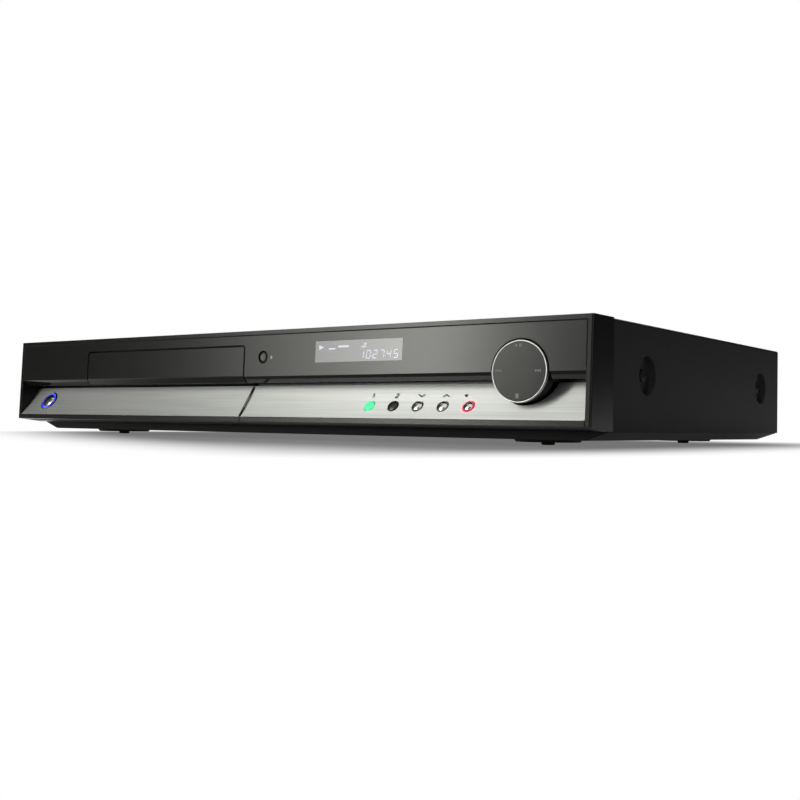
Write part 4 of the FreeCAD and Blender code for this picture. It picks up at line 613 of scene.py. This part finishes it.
button_x = [85.5 * mm + 15.35 * mm * i for i in range(5)]
record_dot_x = 143.2 * mm
label_along = 14.5 * mm
label_size = 1.25 * mm


def label(strokes, x):
    place = on_slope(x, label_along)
    return [(bar(*(v * label_size for v in ends), 0.44 * mm, ink), place) for ends in strokes]


one = [(-0.3, 0.6, 0.1, 1.0), (0.1, 1.0, -0.1, -1.0)]
two = [(-0.6, 0.8, 0.1, 1.05), (0.1, 1.05, 0.65, 0.75), (0.65, 0.75, 0.5, 0.2), (0.5, 0.2, -0.7, -1.0),
       (-0.7, -1.0, 0.6, -1.0)]
down = [(-1.5, 0.6, 0, -0.5), (0, -0.5, 1.5, 0.6)]
up = [(-1.5, -0.6, 0, 0.5), (0, 0.5, 1.5, -0.6)]
labels = []
for strokes, x in zip((one, two, down, up), button_x):
    labels += label(strokes, x)
piece("button_labels", labels, "case", dark_print_and_shadow, "brushed_panel", smooth=False)


def disc_shape(radius, thickness, sides=24):
    shape = bmesh.new()
    bmesh.ops.create_cone(shape, cap_ends=True, segments=sides, radius1=radius, radius2=radius,
                          depth=thickness)
    bmesh.ops.translate(shape, verts=shape.verts, vec=(0, 0, thickness / 2))
    return shape


piece("record_dot", [(disc_shape(0.75 * mm, ink), on_slope(record_dot_x, label_along))], "case", red_ink,
      "brushed_panel")

# The sloping panel and the flap wear one skin of thin aluminium, brushed along its
# length and lightly hollow, so that light gathers in a band below its upper edge.
# Round the record button's light the panel's skin carries a painted red glow.

button_along = 8.1 * mm
power_x = -190.3 * mm
power_along = 11.4 * mm


def brushed(name, tone, lamp=None, glow=None, reach=None):
    """Aluminium brushed along X, with a painted glow in a lamp's colour round a hole of its own."""
    made = Finish(name)
    lines = made.noise(0.34 * mm, 2.0, (0.005, 1, 1))
    broad = made.noise(1.3 * mm, 2.0, (0.01, 1, 1))
    both = made.spread(lines * 0.7 + broad * 0.3, -0.4, 1.4)
    painted_glow = {}
    # Painted glow: the skin itself emits the lamp's colour, full near the hole and fading out across the
    # given reach.
    if lamp:
        where = made.node("TexCoord", output="Object")
        apart = made.node("VectorMath", {"operation": "DISTANCE"}, {0: where, 1: lamp}, output=1)
        painted_halo = made.node("MapRange", {"interpolation_type": "SMOOTHSTEP"},
                         {0: apart, 1: reach[0], 2: reach[1], 3: 1.0, 4: 0.0})
        painted_glow = {"Emission_Color": made.mix(painted_halo, (0, 0, 0), glow), "Emission_Strength": 0.8}
    return made.surface(
        Base_Color=made.mix(both, tuple(0.64 * c for c in tone), tone),
        Metallic=1.0,
        Roughness=made.spread(both, 0.48, 0.58),
        Anisotropic=0.8,
        Tangent=made.node("CombineXYZ", {}, across),
        Normal=made.bump(both, 0.012 * mm, 0.15 * mm),
        **painted_glow,
    )


silver = (0.63, 0.64, 0.635)
across = {"Y": 0.57, "Z": 0.82}
record_lamp = tuple(on_slope(button_x[4], button_along).translation)
dress(brushed("flap_brushed", silver), "flap_skin")
# The panel's skin gets a painted red glow round the record light.
dress(brushed("panel_brushed", silver, record_lamp, (0.6, 0.02, 0.06), (3.0 * mm, 5.2 * mm)), "panel_skin")

# Thin dark strips are painted where the two skins meet, and along the plate's top and
# sides, as the shadow in the gaps there.

flap_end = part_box("flap_skin")[1].x
panel_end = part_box("panel_skin")[0].x
gap_shadow_width = 0.65 * mm
gap_shadow_thickness = 0.02 * mm
gap_shadow_low, gap_shadow_high = 0.5 * mm, 20.8 * mm
# Painted shadow: a dark strip down each side of the seam between the two skins.
for name, x, body in (("flap_end_line", flap_end - gap_shadow_width / 2, "flap"),
                      ("panel_end_line", panel_end + gap_shadow_width / 2, "case")):
    seam_shadow_bar = bar(0, gap_shadow_low, 0, gap_shadow_high, gap_shadow_width, gap_shadow_thickness)
    piece(name, [(seam_shadow_bar, on_slope(x, 0))], body, dark_print_and_shadow, "black_moulding", smooth=False)
plate_left, plate_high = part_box("front_plate")[0].x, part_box("front_plate")[1].z
side_gap_shadow_length = 21 * mm
# Painted shadow: dark strips along the plate's top and sides, in the gap round it.
gap_shadows = [(bar(plate_left, 0, -plate_left, 0, gap_shadow_width, gap_shadow_thickness), on_front(0, plate_high))]
for x in (plate_left, -plate_left):
    gap_shadows.append((bar(0, 0, 0, side_gap_shadow_length, gap_shadow_width, gap_shadow_thickness), on_front(x, plate_high - side_gap_shadow_length)))
piece("plate_gap_shadow", gap_shadows, "case", dark_print_and_shadow, "black_gloss", smooth=False)

# Buttons are turned caps that stand in round holes: a lit green lens, a black cap and
# polished steel domes. The light guides round two of them glow blue and red.


def dome(radius, rise, below, edge=0.25 * mm):
    """A cap with a rounded rim and a low crown, reaching down into its hole."""
    steps = 10
    ball = (radius ** 2 + rise ** 2) / (2 * rise)
    lean = math.asin((radius - edge) / ball)
    crown = [(ball * math.sin(lean * i / steps), rise - ball + ball * math.cos(lean * i / steps))
             for i in range(steps + 1)]
    side = [(radius, crown[-1][1] - edge), (radius, -below), (0, -below)]
    middle = (radius - edge * 0.3, crown[-1][1] - edge * 0.3)
    return lathe(crown + [middle] + side, 64)


def turned_cap(radius, rise, below, pitch=0.16 * mm, groove=0.022 * mm):
    """A low steel dome with the fine rings that the lathe leaves."""
    ball = (radius ** 2 + rise ** 2) / (2 * rise)
    count = int((radius - 0.3 * mm) / pitch) * 2
    crown = []
    for i in range(count + 1):
        r = pitch * i / 2
        crown.append((r, rise - ball + math.sqrt(ball ** 2 - r ** 2) - groove * (i % 2)))
    rim = crown[-1][1] + groove * (count % 2)
    side = [(radius - 0.1 * mm, rim), (radius, rim - 0.1 * mm), (radius, -below), (0, -below)]
    return lathe(crown + side, 72)


def polished(name, tone, rough):
    made = Finish(name)
    turning = made.noise(0.5 * mm, 2.0)
    return made.surface(
        Base_Color=made.mix(turning, tone, tuple(0.92 * c for c in tone)),
        Metallic=1.0,
        Roughness=made.spread(turning, rough, rough + 0.05),
    )


def satin_black(name, tone, rough):
    made = Finish(name)
    grain = made.noise(0.2 * mm, 2.0)
    return made.surface(
        Base_Color=made.mix(grain, tone, tuple(1.2 * c for c in tone)),
        Roughness=made.spread(grain, rough, rough + 0.08),
        Normal=made.bump(grain, 0.004 * mm),
    )


cap_steel = polished("cap_steel", (0.74, 0.74, 0.72), 0.17)
button_radius = 3.05 * mm
button_depth = 5.0 * mm
green_lens = lit("green_lens", (0.09, 0.86, 0.36), 0.75, 0.2)
black_cap = satin_black("black_cap", (0.012, 0.012, 0.012), 0.3)
caps = (("source_button_1", 0, button_radius, green_lens, "button_green"),
        ("source_button_2", 1, button_radius, black_cap, "black_moulding"),
        ("channel_down_button", 2, button_radius, cap_steel, "button_metal"),
        ("channel_up_button", 3, button_radius, cap_steel, "button_metal"),
        ("record_button", 4, 2.7 * mm, cap_steel, "button_metal"))
bodies = {"source_button_1": "source_button_1_body", "source_button_2": "source_button_2_body",
          "channel_down_button": "channel_down_body", "channel_up_button": "channel_up_body",
          "record_button": "record_button_body"}
for name, place, radius, finish, slot in caps:
    if finish is cap_steel:
        cap = turned_cap(radius, 0.75 * mm, button_depth)
    else:
        cap = dome(radius, 0.6 * mm, button_depth)
    piece(name + "_cap", [(cap, on_slope(button_x[place], button_along))],
          bodies[name], finish, slot, (name,))


def hoop(outer, inner, low, high, edge):
    """A flat ring with rounded edges."""
    ring = lathe([(inner, low), (outer, low), (outer, high - edge), (outer - edge, high),
                  (inner + edge, high), (inner, high - edge), (inner, low)], 72)
    return ring


power_cap = turned_cap(5.0 * mm, 0.9 * mm, 11.0 * mm, groove=0.006 * mm)
power_place = on_slope(power_x, power_along)
record_place = on_slope(button_x[4], button_along)
piece("power_cap", [(power_cap, power_place)], "power_button_body", cap_steel, "button_metal",
      ("power_button",))
blue_ring = hoop(5.8 * mm, 5.15 * mm, -1.7 * mm, -0.8 * mm, 0.15 * mm)
outer_ring = hoop(6.3 * mm, 5.8 * mm, -1.7 * mm, 0.0, 0.08 * mm)
red_ring = hoop(3.5 * mm, 2.85 * mm, -2.8 * mm, -0.45 * mm, 0.1 * mm)
piece("power_light", [(blue_ring, power_place)], "case",
      lit("blue_light", (0.03, 0.05, 0.9), 2.6, 0.25), "light_ring", ("button_light_rings",))
piece("power_surround", [(outer_ring, power_place)], "case", cap_steel, "button_metal")
piece("record_light", [(red_ring, record_place)], "case",
      lit("red_light", (0.75, 0.03, 0.09), 0.6, 0.25), "light_ring")

eject_dish = [(0, -0.22), (1.2, -0.18), (1.95, -0.1), (1.97, -0.1), (1.97, -5.6), (0, -5.6)]
eject_rim = [(1.99, -0.8), (2.3, -0.6), (2.85, -0.6), (3.0, -0.8), (3.0, -5.6), (1.99, -5.6), (1.99, -0.8)]
eject_place = on_front(12.0 * mm, 45.9 * mm)
dish_grey = satin_black("eject_dish", (0.035, 0.035, 0.034), 0.42)
rim_black = satin_black("eject_rim", (0.003, 0.003, 0.003), 0.7)
for name, profile, finish, replaced in (("eject_cap", eject_dish, dish_grey, ("eject_button",)),
                                        ("eject_rim", eject_rim, rim_black, ())):
    turned = lathe([(r * mm, h * mm) for r, h in profile], 64)
    piece(name, [(turned, eject_place)], "eject_button_body", finish, "black_moulding", replaced)

# The round control is a moulded disc with a satin face, a bright plated ring round its
# edge and a dark side wall that goes down into the well. Four faint signs are printed.

dial_x, dial_z = 177.5 * mm, 35.2 * mm
face_profile = [(0, 0.78), (4, 0.775), (8, 0.75), (12, 0.68), (14.22, 0.6), (14.25, 0.5), (14.25, -1.0),
                (14.55, -1.1), (14.6, -1.3), (14.6, -7.9), (13.1, -7.9), (13.0, -2.6), (0, -2.6)]
dial_face = moulded("dial_face", (0.013, 0.013, 0.0122), 0.35 * mm, 0, (0.34, 0.42), 0.3)
dial_turned = lathe([(r * mm, h * mm) for r, h in face_profile], 128)
piece("dial_body_turned", [(dial_turned, on_front(dial_x, dial_z))], "dial_body", dial_face, "dial_face",
      ("dial_disc",))
ring_profile = [(14.27, -1.05), (14.8, -1.15)]
for i in range(9):
    round_angle = math.pi * i / 8
    ring_profile.append((14.535 + 0.265 * math.cos(round_angle), 0.5 + 0.28 * math.sin(round_angle)))
ring_profile += [(14.27, -1.05)]
ring_turned = lathe([(r * mm, h * mm) for r, h in ring_profile], 128)
bright_plating = polished("bright_plating", (0.92, 0.92, 0.9), 0.42)
piece("dial_ring_turned", [(ring_turned, on_front(dial_x, dial_z))], "dial_body", bright_plating,
      "chrome_ring", ("dial_ring",))


def on_dial(x, z):
    return on_front(dial_x + x * mm, dial_z + z * mm) @ Matrix.Translation((0, 0, 0.74 * mm))


def sign(points, x, z):
    """A filled sign on the control's face, its points in millimetres about its middle."""
    return (flat_shape([(a * mm, b * mm) for a, b in points], ink), on_dial(x, z))


forward = [(-0.55, -0.7), (0.55, 0), (-0.55, 0.7)]
backward = [(0.55, 0.7), (-0.55, 0), (0.55, -0.7)]
upright = [(-0.2, -0.75), (0.2, -0.75), (0.2, 0.75), (-0.2, 0.75)]
square = [(-0.85, -1.1), (0.85, -1.1), (0.85, 1.1), (-0.85, 1.1)]
signs = [sign(forward, -1.6, 12.3), sign(upright, 0.1, 12.3), sign(upright, 0.9, 12.3),
         sign(square, -0.5, -11.6), sign(upright, -12.4, 0.4), sign(backward, -11.4, 0.4),
         sign(backward, -10.1, 0.4), sign(forward, 9.2, 0.2), sign(forward, 10.5, 0.2),
         sign(upright, 11.4, 0.2)]
piece("dial_signs", signs, "dial_body", printed("faint_ink", (0.27, 0.27, 0.26)), "dial_face", smooth=False)

# The cover is one sheet of painted steel, bent over the top and both sides, with a dished
# seat for each side screw. The screws are blackened.

dress(black_paint("cover_paint", (0.0055, 0.0057, 0.006), 0.5 * mm), "top_cover")


def black_screw():
    made = Finish("black_screw")
    wear = made.noise(0.8 * mm)
    return made.surface(
        Base_Color=made.mix(wear, (0.008, 0.008, 0.008), (0.03, 0.03, 0.029)),
        Metallic=0.3,
        Roughness=made.spread(wear, 0.5, 0.65),
        Specular_IOR_Level=0.1,
        Normal=made.bump(wear, 0.02 * mm, 0.15 * mm),
    )


dress(black_screw(), "cover_screws")

# Each socket on the back has a coloured collar at its foot, which tells its plug: yellow
# for the picture, white and red for sound, and green, blue and red for the three-wire set.

collar_finish = {}
for tone, colour in {"yellow": (0.75, 0.5, 0.02), "white": (0.7, 0.7, 0.68), "red": (0.55, 0.02, 0.02),
                     "green": (0.03, 0.35, 0.08), "blue": (0.03, 0.08, 0.5)}.items():
    collar_finish[tone] = printed("collar_" + tone, colour)
jack_columns = [26.0 * mm, 40.0 * mm, 54.0 * mm]
jack_rows = {23.0 * mm: ("yellow", "white", "red"), 41.0 * mm: ("green", "blue", "red")}
outwards = Matrix.Rotation(math.radians(-90), 4, "X")
for z, tones in jack_rows.items():
    for x, tone in zip(jack_columns, tones):
        collar = hoop(5.4 * mm, 4.17 * mm, 0.0, 1.1 * mm, 0.3 * mm)
        place = Matrix.Translation((x, plate_y, z)) @ outwards
        name = "collar_" + tone + ("_low" if z < 30 * mm else "_high")
        piece(name, [(collar, place)], "case", collar_finish[tone], "jack_insert")

# Studio: three tall strip lights stand side by side at the left front, where the satin
# plate mirrors them, with a soft light overhead, one behind, and a pale paper floor with a
# painted shadow under the recorder.


def area_light(name, place, target, size, watts, colour=(1, 1, 1)):
    lamp = bpy.data.lights.new(name, "AREA")
    lamp.shape = "RECTANGLE"
    lamp.size, lamp.size_y = size
    lamp.energy = watts
    lamp.color = colour
    made = bpy.data.objects.new(name, lamp)
    made.location = place
    made.rotation_mode = "QUATERNION"
    made.rotation_quaternion = (Vector(target) - Vector(place)).to_track_quat("-Z", "Y")
    bpy.context.scene.collection.objects.link(made)
    made.visible_camera = False
    return made


strip_white = (0.995, 1, 0.925)
area_light("key", (-0.79, -1.45, 0.52), (0.12, -0.14, 0.05), (0.17, 1.0), 10.5, strip_white)
area_light("key_side", (-0.95, -1.34, 0.52), (0.05, -0.14, 0.05), (0.2, 1.0), 3.0, strip_white)
area_light("key_edge", (-1.10, -1.23, 0.52), (0.05, -0.14, 0.05), (0.2, 1.0), 1.2, strip_white)
area_light("overhead", (-0.1, 0.2, 1.5), (0.0, 0.0, 0.03), (1.2, 1.2), 9)
area_light("back_fill", (-0.7, 1.8, 0.9), (0, 0.1, 0.03), (1.2, 0.8), 7)


def flat_stage(name, size, place, material):
    shape = bmesh.new()
    bmesh.ops.create_grid(shape, x_segments=1, y_segments=1, size=size / 2)
    mesh = bpy.data.meshes.new(name)
    shape.to_mesh(mesh)
    shape.free()
    mesh.materials.append(material)
    made = bpy.data.objects.new(name, mesh)
    made.matrix_world = place
    bpy.context.scene.collection.objects.link(made)
    return made


def background_rays(finish):
    """1 for what the camera, a mirror or glass sees, and 0 for light that falls."""
    path = finish.tree.nodes.new("ShaderNodeLightPath")
    camera_ray, glossy_ray, clear_ray = (Value(finish, path.outputs["Is " + kind + " Ray"])
                                         for kind in ("Camera", "Glossy", "Transmission"))
    return finish.node("Math", {"operation": "ADD", "use_clamp": True},
                       {0: camera_ray + glossy_ray, 1: clear_ray})


# The paper is pale everywhere but under the recorder, where a painted shadow, a soft dark
# patch in its colour and in the glow that the camera sees, spreads a little past its front
# and sides. At the left front the painted shadow fades along a slanting line.

floor = Finish("pale_floor")
paper = floor.noise(0.4, 2.0)
beside = []
for axis, middle, reach in (("X", -0.005, 0.195), ("Y", -0.05, 0.09)):
    out = floor.along(axis) - middle
    beside.append(out.maths("MAXIMUM", out.maths("ABSOLUTE", out) - reach, 0.0))
leftward = (floor.along("X") + 0.215) * -0.562 - (floor.along("Y") + 0.14) * 0.827 + 0.088
leftward = leftward.maths("MAXIMUM", leftward, 0.0) * 2.2
away = (beside[0] * beside[0] * 6.0 + beside[1] * beside[1] + leftward * leftward) ** 0.5
painted_shadow_core, painted_shadow_end, painted_shadow_tone = 0.045, 0.27, 0.235
far = floor.node("MapRange", {"interpolation_type": "SMOOTHSTEP"},
                 {0: away, 1: painted_shadow_core, 2: painted_shadow_end, 3: 0.0, 4: 1.0})
# Painted shadow: the paper's colour turns dark grey near the recorder, and its glow dims there too.
tone = floor.mix(far, (0.24, 0.24, 0.24), floor.mix(paper, (0.88, 0.88, 0.88), (0.92, 0.92, 0.92)))
matt = floor.node("BsdfDiffuse", {}, {"Color": tone})
glow = floor.node("Emission", {}, {"Color": (1, 1, 1, 1), "Strength": floor.spread(far, painted_shadow_tone, 1.0)})
seen = background_rays(floor) * floor.spread(far, 0.75, 1.0)
shown = floor.node("MixShader", {}, {0: seen, 1: matt, 2: glow})
floor.tree.links.new(shown.socket, floor.tree.nodes.new("ShaderNodeOutputMaterial").inputs["Surface"])
flat_stage("floor", 12.0, Matrix.Identity(4), floor.material)

# Black cards stand beside the lights, out of the picture. They keep the left of the
# front and the right side of the case dark.

card = Finish("dark_card")
card_cloth = card.noise(0.05, 2.0)
card_black = card.surface(
    Base_Color=card.mix(card_cloth, (0.008, 0.008, 0.008), (0.012, 0.012, 0.012)), Roughness=0.9)
for name, size, middle, target in (("left_card", 3.0, (-1.05, 0.35, 1.5), (0, 0.35, 1.5)),
                                   ("front_card", 1.7, (0.33, -1.75, 0.86), (0.33, 0, 0.86)),
                                   ("right_card", 5.2, (0.95, 2.3, 2.6), (0, 2.3, 2.6)),
                                   ("back_card", 2.6, (0.9, 4.8, 1.3), (0.9, 0, 1.3))):
    facing = (Vector(target) - Vector(middle)).to_track_quat("Z", "Y").to_matrix().to_4x4()
    stand = flat_stage(name, size, Matrix.Translation(middle) @ facing, card_black)
    stand.visible_camera = False

world = bpy.data.worlds.new("studio")
bpy.context.scene.world = world
world.use_nodes = True
room = Finish.__new__(Finish)
room.tree = world.node_tree
room.tree.nodes.clear()
strength = room.spread(background_rays(room), 0.42, 1.0)
sky = room.node("Background", {}, {"Color": (1, 1, 1, 1), "Strength": strength})
room.tree.links.new(sky.socket, room.tree.nodes.new("ShaderNodeOutputWorld").inputs["Surface"])

# The camera stands low at the right front corner, just above the floor, and looks a
# little up along the front, as the photograph does.

camera_place = Vector((0.43006, -0.57822, 0.00988))
camera_turn = math.radians(36.26)
camera_rise = math.radians(1.25)
camera_roll = math.radians(0.90)
focal_pixels = 1072.62
picture_width = 800
ahead = Vector((-math.sin(camera_turn) * math.cos(camera_rise),
                math.cos(camera_turn) * math.cos(camera_rise), math.sin(camera_rise)))
side = ahead.cross(Vector((0, 0, 1))).normalized()
over = side.cross(ahead)
right = side * math.cos(camera_roll) + over * math.sin(camera_roll)
upward = over * math.cos(camera_roll) - side * math.sin(camera_roll)
camera = bpy.data.cameras.new("camera")
camera.sensor_width = 36
camera.lens = focal_pixels * camera.sensor_width / picture_width
camera.clip_start, camera.clip_end = 0.02, 50
holder = bpy.data.objects.new("camera", camera)
camera_turned = Matrix((right, upward, -ahead)).transposed().to_4x4()
holder.matrix_world = Matrix.Translation(camera_place) @ camera_turned
bpy.context.scene.collection.objects.link(holder)
bpy.context.scene.camera = holder
bpy.context.scene.view_settings.view_transform = "Standard"
